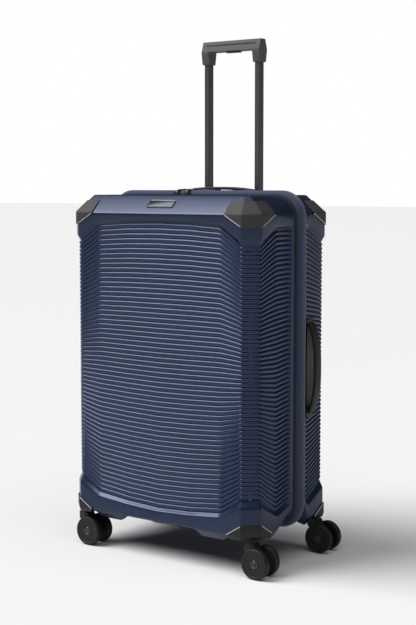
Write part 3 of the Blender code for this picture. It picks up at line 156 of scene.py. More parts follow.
# ------------------------------------------------------------ shader sums
class Value:
    """A shader socket that can be added, multiplied and compared."""

    def __init__(self, finish, socket):
        self.finish = finish
        self.socket = socket

    def math(self, operation, first, second=0.0):
        """One Math node."""
        node = self.finish.node("ShaderNodeMath", {"operation": operation},
                                {0: first, 1: second})
        return Value(self.finish, node.outputs[0])

    def __add__(self, other):
        return self.math("ADD", self, other)

    def __radd__(self, other):
        return self.math("ADD", other, self)

    def __sub__(self, other):
        return self.math("SUBTRACT", self, other)

    def __rsub__(self, other):
        return self.math("SUBTRACT", other, self)

    def __mul__(self, other):
        return self.math("MULTIPLY", self, other)

    def __rmul__(self, other):
        return self.math("MULTIPLY", other, self)

    def sine(self):
        """Sine of the value."""
        return self.math("SINE", self)

    def size(self):
        """Absolute value."""
        return self.math("ABSOLUTE", self)

    def power(self, exponent):
        """Raised to a power."""
        return self.math("POWER", self, exponent)

    def least(self, other):
        """The smaller of two values."""
        return self.math("MINIMUM", self, other)

    def most(self, other):
        """The larger of two values."""
        return self.math("MAXIMUM", self, other)


class Finish:
    """One material and its Principled shader."""

    def __init__(self, name, base, roughness, metallic=0.0, **uniform):
        self.material = bpy.data.materials.new(name)
        self.material.use_nodes = True
        self.tree = self.material.node_tree
        self.shader = self.tree.nodes["Principled BSDF"]
        self.base = (*base, 1.0)
        self.shader.inputs["Base Color"].default_value = self.base
        self.shader.inputs["Roughness"].default_value = roughness
        self.shader.inputs["Metallic"].default_value = metallic
        for socket, value in uniform.items():
            self.shader.inputs[socket.replace("_", " ")].default_value = value
        self.height = None

    def node(self, kind, settings=None, sockets=None):
        """Add a node: its settings first, then the values or links of its sockets."""
        node = self.tree.nodes.new(kind)
        for key, value in (settings or {}).items():
            setattr(node, key, value)
        for key, value in (sockets or {}).items():
            if isinstance(value, Value):
                self.tree.links.new(value.socket, node.inputs[key])
            else:
                node.inputs[key].default_value = value
        return node

    def place(self):
        """Object coordinates."""
        return Value(self, self.node("ShaderNodeTexCoord").outputs["Object"])

    def along(self):
        """The piece's own UV map, in metres along and across it."""
        return Value(self, self.node("ShaderNodeUVMap", {"uv_map": "Along"}).outputs[0])

    def parts(self, vector):
        """X, Y and Z of a vector."""
        node = self.node("ShaderNodeSeparateXYZ", None, {0: vector})
        return [Value(self, output) for output in node.outputs]

    def stored(self, name):
        """A number kept on the mesh."""
        node = self.node("ShaderNodeAttribute", {"attribute_name": name})
        return Value(self, node.outputs["Fac"])

    def noise(self, scale, detail=3.0, roughness=0.5, vector=None):
        """Noise from 0 to 1."""
        node = self.node("ShaderNodeTexNoise", None,
                         {"Vector": vector or self.place(), "Scale": scale, "Detail": detail,
                          "Roughness": roughness})
        return Value(self, node.outputs["Fac"])

    def speckle(self, scale, vector=None):
        """Rounded grain cells."""
        node = self.node("ShaderNodeTexVoronoi", {"feature": "SMOOTH_F1"},
                         {"Vector": vector or self.place(), "Scale": scale})
        return Value(self, node.outputs["Distance"])

    def streaks(self, scale, stretch):
        """Noise drawn out along one axis."""
        node = self.node("ShaderNodeMapping", None, {"Vector": self.place(), "Scale": stretch})
        return self.noise(scale, 4.0, 0.6, Value(self, node.outputs[0]))

    def ramp(self, value, low, high):
        """Smooth step of a value between two levels."""
        node = self.node("ShaderNodeMapRange", {"interpolation_type": "SMOOTHSTEP"},
                         {"Value": value, "From Min": low, "From Max": high})
        return Value(self, node.outputs[0])

    def blend(self, share, first, second):
        """Mix two colours."""
        node = self.node("ShaderNodeMix", {"data_type": "RGBA"}, {0: share})
        for socket, value in ((6, first), (7, second)):
            if isinstance(value, Value):
                self.tree.links.new(value.socket, node.inputs[socket])
            else:
                node.inputs[socket].default_value = (*value[:3], 1.0)
        return Value(self, node.outputs[2])

    def tinted(self, share, low, high):
        """Base colour running from low to high times its own brightness."""
        dark = [channel * low for channel in self.base[:3]]
        light = [min(1.0, channel * high) for channel in self.base[:3]]
        return self.blend(share, dark, light)

    def feed(self, socket, value):
        """Let a value drive one socket of the shader."""
        self.tree.links.new(value.socket, self.shader.inputs[socket])

    def bump(self, height, distance, strength=1.0):
        """Add a relief, in metres, over any earlier one."""
        sockets = {"Height": height, "Distance": distance, "Strength": strength}
        if self.height is not None:
            sockets["Normal"] = self.height
        node = self.node("ShaderNodeBump", None, sockets)
        self.height = Value(self, node.outputs[0])
        self.feed("Normal", self.height)


# ------------------------------------------------------------ finishes
def satin_shell(tone):
    """Satin moulded shell, with painted highlight on the rib crests and painted shade in the
    valleys.
    """
    f = Finish("satin_shell", tone, 0.32, 0.45, Specular_IOR_Level=0.36, Coat_Weight=0.18,
               Coat_Roughness=0.20)
    # crest follows the rib relief: it paints highlight on the crests and shade in the valleys,
    # mixed with a cloud of random tone
    crest = f.stored("crest")
    cloud = f.noise(7.0, 2.0)
    f.feed("Base Color", f.tinted((crest * 0.75 + cloud * 0.25).least(1.0), 0.22, 1.60))
    scuffs = f.ramp(f.noise(38.0, 5.0, 0.7), 0.56, 0.74)
    f.feed("Roughness", 0.29 + cloud * 0.06 + scuffs * 0.05)
    f.bump(f.speckle(1500.0), 0.00004, 0.35)
    f.bump(f.noise(16.0, 2.0), 0.0004, 0.12)
    return f


def moulded(name, tone, roughness, grain=900.0, depth=0.00006):
    """Black moulded plastic with a fine spark-eroded grain and rubbed patches."""
    f = Finish(name, tone, roughness, 0.0, Specular_IOR_Level=0.32)
    rub = f.ramp(f.noise(22.0, 4.0, 0.6), 0.42, 0.70)
    f.feed("Base Color", f.tinted(rub, 0.85, 1.45))
    f.feed("Roughness", roughness + 0.05 - rub * 0.12)
    f.bump(f.speckle(grain), depth, 0.5)
    return f


def glossy_hub(tone):
    """Polished plastic of the wheel hubs."""
    f = Finish("glossy_hub", tone, 0.16, 0.0, Coat_Weight=0.5, Coat_Roughness=0.08)
    f.feed("Roughness", 0.12 + f.noise(60.0, 3.0) * 0.12)
    f.feed("Base Color", f.tinted(f.noise(30.0), 0.9, 1.3))
    return f


def tread_rubber(tone):
    """Matte wheel material with scuffed tread and dust."""
    f = Finish("tread_rubber", tone, 0.55, 0.0, Specular_IOR_Level=0.25)
    dust = f.ramp(f.noise(55.0, 5.0, 0.65), 0.48, 0.72)
    f.feed("Base Color", f.blend(dust * 0.15, tone, (0.05, 0.049, 0.047)))
    f.feed("Roughness", 0.46 + dust * 0.2)
    f.bump(f.noise(900.0, 3.0), 0.00008, 0.4)
    return f


def anodised(tone):
    """Anodised tube with drawn streaks along it."""
    f = Finish("anodised_tube", tone, 0.36, 0.75)
    lines = f.streaks(160.0, (1.0, 1.0, 0.012))
    f.feed("Base Color", f.tinted(lines, 0.82, 1.15))
    f.feed("Roughness", 0.30 + lines * 0.14)
    f.bump(lines, 0.00003, 0.5)
    return f


def plated(name, tone, roughness, metallic=0.9):
    """Plated or polished metal with hairline wear."""
    f = Finish(name, tone, roughness, metallic)
    wear = f.noise(140.0, 5.0, 0.7)
    f.feed("Base Color", f.tinted(f.ramp(wear, 0.35, 0.7), 0.85, 1.3))
    f.feed("Roughness", roughness - 0.06 + wear * 0.14)
    f.bump(f.noise(420.0, 4.0), 0.00003, 0.5)
    return f


def woven(name, tone, pitch, depth, sheen=0.25):
    """Plain weave that follows the piece: threads over and under both ways."""
    f = Finish(name, tone, 0.82, 0.0, Sheen_Weight=sheen, Sheen_Roughness=0.45)
    u, v, _ = f.parts(f.along())
    turn = math.pi / pitch
    warp = (u * turn).sine()
    weft = (v * turn).sine()
    over = (warp * weft) * 0.5 + 0.5
    ridge = warp.size().most(weft.size())
    fuzz = f.noise(900.0, 3.0)
    f.feed("Base Color", f.tinted((over * 0.7 + fuzz * 0.3).least(1.0), 0.62, 1.5))
    f.feed("Roughness", 0.72 + fuzz * 0.2)
    f.bump(over * 0.6 + ridge * 0.4, depth, 0.8)
    f.bump(fuzz, depth * 0.6, 0.4)
    return f


def thread_finish(tone):
    """Twisted sewing thread."""
    f = Finish("sewing_thread", tone, 0.6, 0.0, Sheen_Weight=0.4)
    f.feed("Base Color", f.tinted(f.noise(1400.0), 0.8, 1.3))
    f.bump(f.noise(2200.0), 0.00008, 0.6)
    return f


def quilted_cloth(tone):
    """Thin lining cloth with a woven diamond figure and soft creases."""
    f = Finish("lining_cloth", tone, 0.78, 0.0, Sheen_Weight=0.35, Sheen_Roughness=0.4)
    u, v, _ = f.parts(f.along())
    turn = math.pi / 0.022
    one = ((u + v) * turn).sine().size()
    two = ((u - v) * turn).sine().size()
    figure = f.ramp(one.least(two), 0.05, 0.16)
    threads = ((u * 2600.0).sine() + (v * 2600.0).sine()) * 0.25 + 0.5
    creases = f.noise(9.0, 3.0, 0.6)
    # The crease relief also darkens the colour in its hollows as painted shade; the diamond figure
    # is the cloth's own pattern
    f.feed("Base Color", f.tinted(figure * 0.6 + creases * 0.4, 0.6, 1.35))
    f.feed("Roughness", 0.70 + figure * 0.14)
    f.bump(figure, 0.0005, 0.5)
    f.bump(threads, 0.00008, 0.5)
    f.bump(creases, 0.006, 0.35)
    return f


def studio_floor(tone):
    """Pale matte floor."""
    f = Finish("studio_floor", tone, 0.7)
    f.feed("Base Color", f.tinted(f.noise(0.6, 2.0), 0.985, 1.0))
    return f


MAKERS = {
    "satin_shell": lambda c: satin_shell(c.shell),
    "guard_plastic": lambda c: moulded("guard_plastic", c.guard, 0.36, 1100.0, 0.00004),
    "moulding_plastic": lambda c: moulded("moulding_plastic", c.moulding, 0.42),
    "soft_handle": lambda c: moulded("soft_handle", c.handle, 0.50, 700.0, 0.00008),
    "grip_plastic": lambda c: moulded("grip_plastic", c.grip, 0.44, 1000.0, 0.00004),
    "glossy_hub": lambda c: glossy_hub(c.moulding),
    "tread_rubber": lambda c: tread_rubber(c.tread),
    "anodised_tube": lambda c: anodised(c.tube),
    "plated_metal": lambda c: plated("plated_metal", c.plated, 0.32, 0.85),
    "bright_steel": lambda c: plated("bright_steel", c.steel, 0.28, 1.0),
    "blackened_steel": lambda c: plated("blackened_steel", [v * 0.35 for v in c.plated], 0.4, 0.6),
    "edge_line": lambda c: plated("edge_line", c.line, 0.34, 0.55),
    "belt_weave": lambda c: woven("belt_weave", c.belt, 0.0011, 0.00035),
    "tape_weave": lambda c: woven("tape_weave", c.tape, 0.0007, 0.0002, 0.15),
    "sewing_thread": lambda c: thread_finish(c.thread),
    "lining_cloth": lambda c: quilted_cloth(c.lining),
    "studio_floor": lambda c: studio_floor(c.floor),
}


def finish(name):
    """The material of that name, made on first use."""
    found = bpy.data.materials.get(name)
    if found is None:
        found = MAKERS[name](bpy.context.scene.case_colours).material
    return found


# ------------------------------------------------------------ mesh helpers
def make_piece(name, vertices, faces, *finishes, places=None, marks=None, angle=35.0):
    """A mesh object from points and faces.

    places gives each face's corners their UVs, marks the finish of each face.
    """
    mesh = bpy.data.meshes.new(name)
    mesh.from_pydata([tuple(v) for v in vertices], [], faces)
    for item in finishes:
        mesh.materials.append(finish(item))
    layer = mesh.uv_layers.new(name="Along")
    if places:
        flat = [c for face in places for uv in face for c in uv]
        layer.data.foreach_set("uv", flat)
    if marks:
        mesh.polygons.foreach_set("material_index", marks)
    if angle:
        mesh.shade_smooth()
        mesh.set_sharp_from_angle(angle=math.radians(angle))
    mesh.update()
    item = bpy.data.objects.new(name, mesh)
    bpy.context.scene.collection.objects.link(item)
    return item


def outwards(item):
    """Turn a closed piece's faces outwards after joining its doubles."""
    work = bmesh.new()
    work.from_mesh(item.data)
    bmesh.ops.remove_doubles(work, verts=work.verts, dist=0.00001)
    bmesh.ops.recalc_face_normals(work, faces=work.faces)
    work.to_mesh(item.data)
    work.free()
    return item


def settled(item, angle=35.0):
    """Make the piece's live modifiers part of its plain mesh."""
    bpy.context.view_layer.update()
    graph = bpy.context.evaluated_depsgraph_get()
    mesh = bpy.data.meshes.new_from_object(item.evaluated_get(graph),
                                           preserve_all_data_layers=True, depsgraph=graph)
    item.modifiers.clear()
    item.data = mesh
    mesh.name = item.name
    if angle:
        mesh.shade_smooth()
        mesh.set_sharp_from_angle(angle=math.radians(angle))
    return item


def rounded(item, width, segments=3, angle=30.0):
    """Round a piece's edges with a bevel and settle it."""
    change = item.modifiers.new("Rounded edges", "BEVEL")
    change.width = width
    change.segments = segments
    change.limit_method = "ANGLE"
    change.angle_limit = math.radians(angle)
    change.harden_normals = False
    return settled(item)


def softened(node, name, finish_name, width, segments=3, angle=30.0):
    """A copy of a frame node with merged corners and rounded edges, standing for it."""
    mesh = frame["nodes"][node].data.copy()
    work = bmesh.new()
    work.from_mesh(mesh)
    bmesh.ops.remove_doubles(work, verts=work.verts, dist=0.00002)
    bmesh.ops.dissolve_limit(work, angle_limit=math.radians(1.0), verts=work.verts,
                             edges=work.edges)
    work.to_mesh(mesh)
    work.free()
    mesh.materials.clear()
    mesh.materials.append(finish(finish_name))
    item = bpy.data.objects.new(name, mesh)
    bpy.context.scene.collection.objects.link(item)
    rounded(item, width, segments, angle)
    lay_flat_uv(item)
    return stand_for(item, node)


def lay_flat_uv(item):
    """Give each face UVs in metres on the plane it mostly lies in."""
    mesh = item.data
    layer = mesh.uv_layers.get("Along") or mesh.uv_layers.new(name="Along")
    for face in mesh.polygons:
        drop = max(range(3), key=lambda i: abs(face.normal[i]))
        keep = [i for i in range(3) if i != drop]
        for loop in face.loop_indices:
            point = mesh.vertices[mesh.loops[loop].vertex_index].co
            layer.data[loop].uv = (point[keep[0]], point[keep[1]])


def slot_of(node):
    """The record's material slot of a frame node."""
    return next(part["material_slot"] for part in frame["record"]["subparts"]
                if part["node"] == node)


def stand_for(item, *nodes):
    """The piece rides with these nodes' body and replaces them; their slot is looked up and not
    used.
    """
    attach(item, BODY_OF[nodes[0]])
    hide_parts(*nodes)
    slot_of(nodes[0])
    return item


def add_to(item, node):
    """An extra piece that rides with a frame node's body."""
    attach(item, BODY_OF[node])
    slot_of(node)
    return item


def mix(a, b, t):
    """Linear blend."""
    return a + (b - a) * t


def stepped(value, knots):
    """Read a line through (position, value) knots."""
    if value <= knots[0][0]:
        return knots[0][1]
    for (p0, v0), (p1, v1) in zip(knots, knots[1:]):
        if value <= p1:
            return mix(v0, v1, (value - p0) / (p1 - p0))
    return knots[-1][1]


def softly_stepped(value, knots, reach=0.004):
    """The same line with its kinks rounded off."""
    steps = (-1.0, -0.5, 0.0, 0.5, 1.0)
    return sum(stepped(value + reach * s, knots) for s in steps) / len(steps)


def ramp(t, ease=0.22):
    """0 to 1 with short rounded ends and a straight middle."""
    t = min(max(t, 0.0), 1.0)
    top = 1 / (1 - ease)
    if t < ease:
        return top * t * t / (2 * ease)
    if t > 1 - ease:
        return 1 - top * (1 - t) ** 2 / (2 * ease)
    return top * (t - ease / 2)


def grid(rows, closed_across=False, closed_along=False, cap=False):
    """Faces between rows of points of equal length, with UVs in metres."""
    size = len(rows[0])
    vertices = [p for row in rows for p in row]
    gone = [0.0]
    for a, b in zip(rows, rows[1:] + rows[:1]):
        middle = size // 2
        gone.append(gone[-1] + (Vector(b[middle]) - Vector(a[middle])).length)
    widest = rows[len(rows) // 2]
    across = [0.0]
    for a, b in zip(widest, widest[1:] + widest[:1]):
        across.append(across[-1] + (Vector(b) - Vector(a)).length)
    faces = []
    places = []
    for r in range(len(rows) if closed_along else len(rows) - 1):
        s = (r + 1) % len(rows)
        for k in range(size if closed_across else size - 1):
            m = (k + 1) % size
            faces.append((r * size + k, r * size + m, s * size + m, s * size + k))
            places.append(((gone[r], across[k]), (gone[r], across[k + 1]),
                           (gone[r + 1], across[k + 1]), (gone[r + 1], across[k])))
    if cap:
        for first, turn in ((0, -1), (len(rows) - 1, 1)):
            loop = [first * size + k for k in range(size)][::turn]
            faces.append(tuple(loop))
            places.append([(vertices[i][0], vertices[i][2]) for i in loop])
    return vertices, faces, places


def turned_rows(profile, centre, axis, segments=64):
    """Rows of points of a (radius, height) profile turned about an axis."""
    along = "xyz".index(axis)
    across = [i for i in range(3) if i != along]
    rows = []
    for radius, height in profile:
        row = []
        for k in range(segments):
            turn = 2 * math.pi * k / segments
            point = [0.0, 0.0, 0.0]
            point[along] = centre[along] + height
            point[across[0]] = centre[across[0]] + radius * math.cos(turn)
            point[across[1]] = centre[across[1]] + radius * math.sin(turn)
            row.append(tuple(point))
        rows.append(row)
    return rows


def turned(name, profile, centre, axis, finish_name, segments=64, ring=False, angle=35.0):
    """A turned piece; a ring's profile is closed, else the ends close on the axis."""
    rows = turned_rows(profile, centre, axis, segments)
    vertices, faces, places = grid(rows, True, ring, not ring)
    return outwards(make_piece(name, vertices, faces, finish_name, places=places, angle=angle))


def swept(path, profile, closed):
    """Rows of a (side, out) profile carried along (point, side, out) stations."""
    rows = []
    for point, side, out in path:
        rows.append([tuple(point + side * a + out * b) for a, b in profile])
    return grid(rows, True, closed, not closed)


def circle_profile(radius, steps=10, flatten=1.0):
    """Round profile for a bead."""
    return [(radius * math.cos(2 * math.pi * k / steps),
             flatten * radius * math.sin(2 * math.pi * k / steps)) for k in range(steps)]


def eased(points, radius, steps=5):
    """Round the inner corners of a line of points."""
    points = [Vector(p) for p in points]
    result = [points[0]]
    for before, here, after in zip(points, points[1:], points[2:]):
        back, ahead = before - here, after - here
        reach = min(radius, back.length / 2, ahead.length / 2)
        first = here + back.normalized() * reach
        last = here + ahead.normalized() * reach
        for k in range(steps + 1):
            t = k / steps
            result.append(first.lerp(here, t).lerp(here.lerp(last, t), t))
    result.append(points[-1])
    return result


def bead(name, points, normals, profile, finish_name, node):
    """A strip swept along a line on a surface, riding with a node."""
    stations = []
    for k, (point, normal) in enumerate(zip(points, normals)):
        a, b = points[max(k - 1, 0)], points[min(k + 1, len(points) - 1)]
        along = (b - a).normalized()
        side = normal.cross(along).normalized()
        stations.append((point, side, normal.normalized()))
    vertices, faces, places = swept(stations, profile, False)
    item = outwards(make_piece(name, vertices, faces, finish_name, places=places, angle=60.0))
    return add_to(item, node)


# ------------------------------------------------------------ geometry node trees
class Tree:
    """A geometry node group under construction."""

    def __init__(self, name):
        self.group = bpy.data.node_groups.new(name, "GeometryNodeTree")
        self.group.interface.new_socket("Geometry", in_out="INPUT",
                                        socket_type="NodeSocketGeometry")
        self.group.interface.new_socket("Geometry", in_out="OUTPUT",
                                        socket_type="NodeSocketGeometry")
        self.start = self.group.nodes.new("NodeGroupInput")
        self.end = self.group.nodes.new("NodeGroupOutput")

    def ask(self, name, kind, default=None):
        """A named input of the group."""
        socket = self.group.interface.new_socket(name, in_out="INPUT",
                                                 socket_type="NodeSocket" + kind)
        if default is not None:
            socket.default_value = default
        return self.start.outputs[name]

    def add(self, kind, settings=None, sockets=None, out=0):
        """Add a node and return one of its outputs."""
        node = self.group.nodes.new(kind)
        for key, value in (settings or {}).items():
            setattr(node, key, value)
        for key, value in (sockets or {}).items():
            if isinstance(value, bpy.types.NodeSocket):
                self.group.links.new(value, node.inputs[key])
            else:
                node.inputs[key].default_value = value
        return node.outputs[out]

    def math(self, operation, first, second=0.0):
        """A Math node."""
        return self.add("ShaderNodeMath", {"operation": operation}, {0: first, 1: second})

    def close(self, geometry, material):
        """End in realised instances with their material."""
        real = self.add("GeometryNodeRealizeInstances", None, {0: geometry})
        done = self.add("GeometryNodeSetMaterial", None, {"Geometry": real, "Material": material})
        self.group.links.new(done, self.end.inputs[0])
        return self.group


def rib_tree():
    """Raise rounded ribs on a shell out of its own rib_turn, rib_reach and outward values, and keep
    their height as crest for the shell's painted highlight and shade.
    """
    tree = Tree("Shell ribs")
    depth = tree.ask("Rib depth", "Float", 0.002)
    fullness = tree.ask("Fullness", "Float", 2.6)
    material = tree.ask("Material", "Material")

    def stored(name, kind):
        return tree.add("GeometryNodeInputNamedAttribute", {"data_type": kind}, {"Name": name})

    turn = stored("rib_turn", "FLOAT")
    reach = stored("rib_reach", "FLOAT")
    outward = stored("outward", "FLOAT_VECTOR")
    across = tree.math("SUBTRACT", tree.math("MULTIPLY", tree.math("FRACT", turn), 2.0), 1.0)
    hollow = tree.math("POWER", tree.math("ABSOLUTE", across), fullness)
    crest = tree.math("MULTIPLY", tree.math("SUBTRACT", 1.0, hollow), reach)
    rise = tree.math("MULTIPLY", crest, depth)
    # crest kept for the colour: high on rib crests for painted highlight, low in valleys for
    # painted shade, a middle value on flat parts
    plain = tree.math("MULTIPLY", tree.math("SUBTRACT", 1.0, reach), 0.55)
    shade = tree.math("ADD", crest, plain)
    offset = tree.add("ShaderNodeVectorMath", {"operation": "SCALE"},
                      {0: outward, "Scale": rise})
    kept = tree.add("GeometryNodeStoreNamedAttribute", {"data_type": "FLOAT", "domain": "POINT"},
                    {"Geometry": tree.start.outputs[0], "Name": "crest", "Value": shade})
    moved = tree.add("GeometryNodeSetPosition", None, {"Geometry": kept, "Offset": offset})
    return tree.close(moved, material)


def row_tree():
    """Repeat a small rounded block along a path whose points keep their outward direction."""
    tree = Tree("Row along a path")
    spacing = tree.ask("Spacing", "Float", 0.003)
    size = tree.ask("Size", "Vector", (0.001, 0.002, 0.001))
    shift = tree.ask("Shift", "Vector", (0.0, 0.0, 0.0))
    sway = tree.ask("Sway", "Float", 0.0)
    seed = tree.ask("Seed", "Int", 3)
    material = tree.ask("Material", "Material")
    curve = tree.add("GeometryNodeMeshToCurve", None, {0: tree.start.outputs[0]})
    even = tree.add("GeometryNodeResampleCurve", {"mode": "LENGTH"},
                    {"Curve": curve, "Length": spacing})
    outward = tree.add("GeometryNodeInputNamedAttribute", {"data_type": "FLOAT_VECTOR"},
                       {"Name": "outward"})
    tangent = tree.add("GeometryNodeInputTangent")
    turn = tree.add("FunctionNodeAxesToRotation", {"primary_axis": "Z", "secondary_axis": "X"},
                    {0: outward, 1: tangent})
    cube = tree.add("GeometryNodeMeshCube", None, {"Size": size})
    block = tree.add("GeometryNodeSubdivisionSurface", None,
                     {"Mesh": cube, "Level": 1, "Edge Crease": 0.45})
    smooth = tree.add("GeometryNodeSetShadeSmooth", None, {"Geometry": block})
    row = tree.add("GeometryNodeInstanceOnPoints", None,
                   {"Points": even, "Instance": smooth, "Rotation": turn})
    placed = tree.add("GeometryNodeTranslateInstances", None,
                      {"Instances": row, "Translation": shift, "Local Space": True})
    low = tree.math("MULTIPLY", sway, -1.0)
    chance = tree.add("FunctionNodeRandomValue", {"data_type": "FLOAT"},
                      {2: low, 3: sway, "Seed": seed}, 1)
    angle = tree.add("ShaderNodeCombineXYZ", None, {2: chance})
    spin = tree.add("FunctionNodeEulerToRotation", None, {0: angle})
    swayed = tree.add("GeometryNodeRotateInstances", None,
                      {"Instances": placed, "Rotation": spin, "Local Space": True})
    return tree.close(swayed, material)


def shared_tree(name, maker):
    """The node group of that name, made once."""
    return bpy.data.node_groups.get(name) or maker()


def grown(item, group, **values):
    """Run a node group on a piece with these inputs and settle the result."""
    change = item.modifiers.new("Grown", "NODES")
    change.node_group = group
    for entry in group.interface.items_tree:
        key = entry.name.replace(" ", "_")
        if entry.item_type == "SOCKET" and entry.in_out == "INPUT" and key in values:
            change[entry.identifier] = values[key]
    return settled(item)


def row_along(name, path, spacing, size, shift, finish_name, node, sway=0.0, closed=False):
    """Small blocks repeated along (point, side, out) stations, riding with a node."""
    mesh = bpy.data.meshes.new(name)
    count = len(path)
    edges = [(k, k + 1) for k in range(count - 1)]
    if closed:
        edges.append((count - 1, 0))
    mesh.from_pydata([tuple(station[0]) for station in path], edges, [])
    kept = mesh.attributes.new("outward", "FLOAT_VECTOR", "POINT")
    kept.data.foreach_set("vector", [c for station in path for c in station[2]])
    item = bpy.data.objects.new(name, mesh)
    bpy.context.scene.collection.objects.link(item)
    grown(item, shared_tree("Row along a path", row_tree), Spacing=spacing, Size=size,
          Shift=shift, Sway=sway, Seed=7, Material=finish(finish_name))
    item.data.attributes.remove(item.data.attributes["outward"])
    lay_flat_uv(item)
    return add_to(item, node)


# ------------------------------------------------------------ half shells
def facet_leg(inset):
    """Leg of the upright corner facet where the walls are inset."""
    return max(EDGE_CHAMFER - inset * (2 - math.sqrt(2)), 0.001)


class ShellLine:
    """One line down a half shell: on the side at a depth, round a facet's edge at a
    share of the turn, on the facet, or on the face at a distance from the middle."""

    def __init__(self, kind, at, rim, hand=1):
        self.kind = kind
        self.at = at
        self.rim = rim
        self.hand = hand

    def point(self, inset, z, rounding):
        """Place of this line where the walls are inset by this much: x, depth, z."""
        leg = facet_leg(inset)
        radius = min(rounding, leg * 1.6)
        reach = radius * EIGHTH
        wall, face = HALF_X - inset, HALF_Y - inset
        if self.kind == "side":
            x, depth = wall, min(self.at, face - leg - reach)
        elif self.kind == "side_turn":
            turn = math.radians(45 * self.at)
            x = wall - radius + radius * math.cos(turn)
            depth = face - leg - reach + radius * math.sin(turn)
        elif self.kind == "face_turn":
            turn = math.radians(45 + 45 * self.at)
            x = wall - leg - reach + radius * math.cos(turn)
            depth = face - radius + radius * math.sin(turn)
        elif self.kind == "facet":
            x, depth = wall - leg * self.at, face - leg * (1 - self.at)
        else:
            x, depth = min(self.at, wall - leg - reach), face
        return self.hand * x, depth, z

    def rim_share(self):
        """1 on the smooth strip at the rim, 0 from the field's bend onwards."""
        if self.kind != "side":
            return 0.0
        bend = HALF_Y - FIELD_BEND_Y
        strip = self.rim + RIM_FLANGE
        return min(max((bend - self.at) / (bend - strip), 0.0), 1.0)

    def level(self, table):
        """Read a table of levels: middle, quarter, bend, facet, facet, side bend."""
        if self.kind == "face":
            bend = HALF_X - FIELD_BEND_X
            return softly_stepped(self.at, [(0.0, table[0]), (bend / 2, table[1]),
                                            (bend, table[2]), (HALF_X - EDGE_CHAMFER, table[3])])
        if self.kind == "side":
            return softly_stepped(self.at, [(HALF_Y - FIELD_BEND_Y, table[5]),
                                            (HALF_Y - EDGE_CHAMFER, table[4])])
        return table[3]

    def reach(self):
        """Share of the field's depth on this line: 0 on the rim strip, 1 in the field."""
        if self.kind != "side":
            return 1.0
        t = (self.at - self.rim - RIM_FLANGE) / RIM_BEVEL
        return math.sin(math.pi / 2 * min(max(t, 0.0), 1.0))

    def recess(self, face_recess):
        """Depth of the rib crests below the frame."""
        if self.kind == "face":
            return face_recess
        return mix(SIDE_RECESS, face_recess, self.at) if self.kind == "face_turn" else SIDE_RECESS

    def foot(self):
        """Level and inset of the lower edge, with the feet and the caster corners."""
        if self.kind == "face":
            away, foot = HALF_X - self.at, FOOT_FRONT
        elif self.kind == "side":
            away, foot = HALF_Y - self.at, FOOT_SIDE
        else:
            return UNDERSIDE, CORNER_INSET
        drop = softly_stepped(away, [(foot[3], 0.0), (foot[2], 1.0), (foot[1], 1.0),
                                     (foot[0], 0.0)], 0.003)
        corner = softly_stepped(away, [(foot[3] - 0.006, 1.0), (foot[3] + 0.004, 0.0)], 0.002)
        return UNDERSIDE - FOOT_DROP * drop, mix(BOTTOM_INSET, CORNER_INSET, corner)


def curve_through(before, corner, after, reach, steps=4):
    """Points round a corner of an (inset, z) line."""
    result = []
    ends = []
    for other in (before, after):
        dx, dz = other[0] - corner[0], other[1] - corner[1]
        size = math.hypot(dx, dz)
        share = min(reach / size, 0.5)
        ends.append((corner[0] + dx * share, corner[1] + dz * share))
    for k in range(steps + 1):
        t = k / steps
        result.append(tuple((1 - t) ** 2 * a + 2 * t * (1 - t) * c + t * t * b
                            for a, c, b in zip(ends[0], corner, ends[1])))
    return result


def top_rows(line):
    """(inset, z) from the flat top over the facet to the wall; an arc at the rim."""
    edge, ridge = (TOP_CHAMFER, TOP), (0.0, RIDGE)
    facet = [(TOP_CHAMFER + 0.006, TOP)]
    facet += curve_through((0.06, TOP), edge, ridge, 0.0028)
    facet.append((TOP_CHAMFER - GUARD_BAND / 2, TOP - GUARD_BAND / 2))
    facet += curve_through(edge, ridge, (0.0, RIDGE - 0.01), 0.0028)
    facet.append((0.0, RIDGE - 0.0045))
    count = len(facet) - 2
    arc = [(RIM_TOP_RADIUS + 0.003, TOP)]
    for k in range(count):
        turn = math.pi / 2 * k / (count - 1)
        arc.append((RIM_TOP_RADIUS * (1 - math.sin(turn)),
                    TOP - RIM_TOP_RADIUS * (1 - math.cos(turn))))
    arc.append((0.0, TOP - RIM_TOP_RADIUS - 0.003))
    share = line.rim_share()
    return [(mix(a[0], b[0], share), mix(a[1], b[1], share)) for a, b in zip(facet, arc)]


def bottom_rows(line):
    """(inset, z) from the wall over the crease and the lower edge to the underside."""
    foot_level, foot_inset = line.foot()
    crease = (0.0, UNDERSIDE + CREASE_RISE)
    edge = (foot_inset, foot_level)
    facet = [(0.0, crease[1] + 0.006)]
    facet += curve_through((0.0, crease[1] + 0.02), crease, edge, 0.0030)
    facet += curve_through(crease, edge, (BOTTOM_BORDER, UNDERSIDE), 0.0030)
    facet.append((BOTTOM_BORDER, UNDERSIDE))
    count = len(facet) - 1
    arc = []
    for k in range(count):
        turn = math.pi / 2 * k / (count - 1)
        arc.append((RIM_LOW_RADIUS * (1 - math.cos(turn)),
                    UNDERSIDE + RIM_LOW_RADIUS * (1 - math.sin(turn))))
    arc.append((BOTTOM_BORDER, UNDERSIDE))
    share = line.rim_share()
    return [(mix(a[0], b[0], share), mix(a[1], b[1], share)) for a, b in zip(facet, arc)]


RIB_STEPS = (0.0, 0.10, 0.24, 0.41, 0.59, 0.76, 0.90)
SLOPE_STEPS = (0.0, 0.12, 0.3, 0.5, 0.7, 0.88)


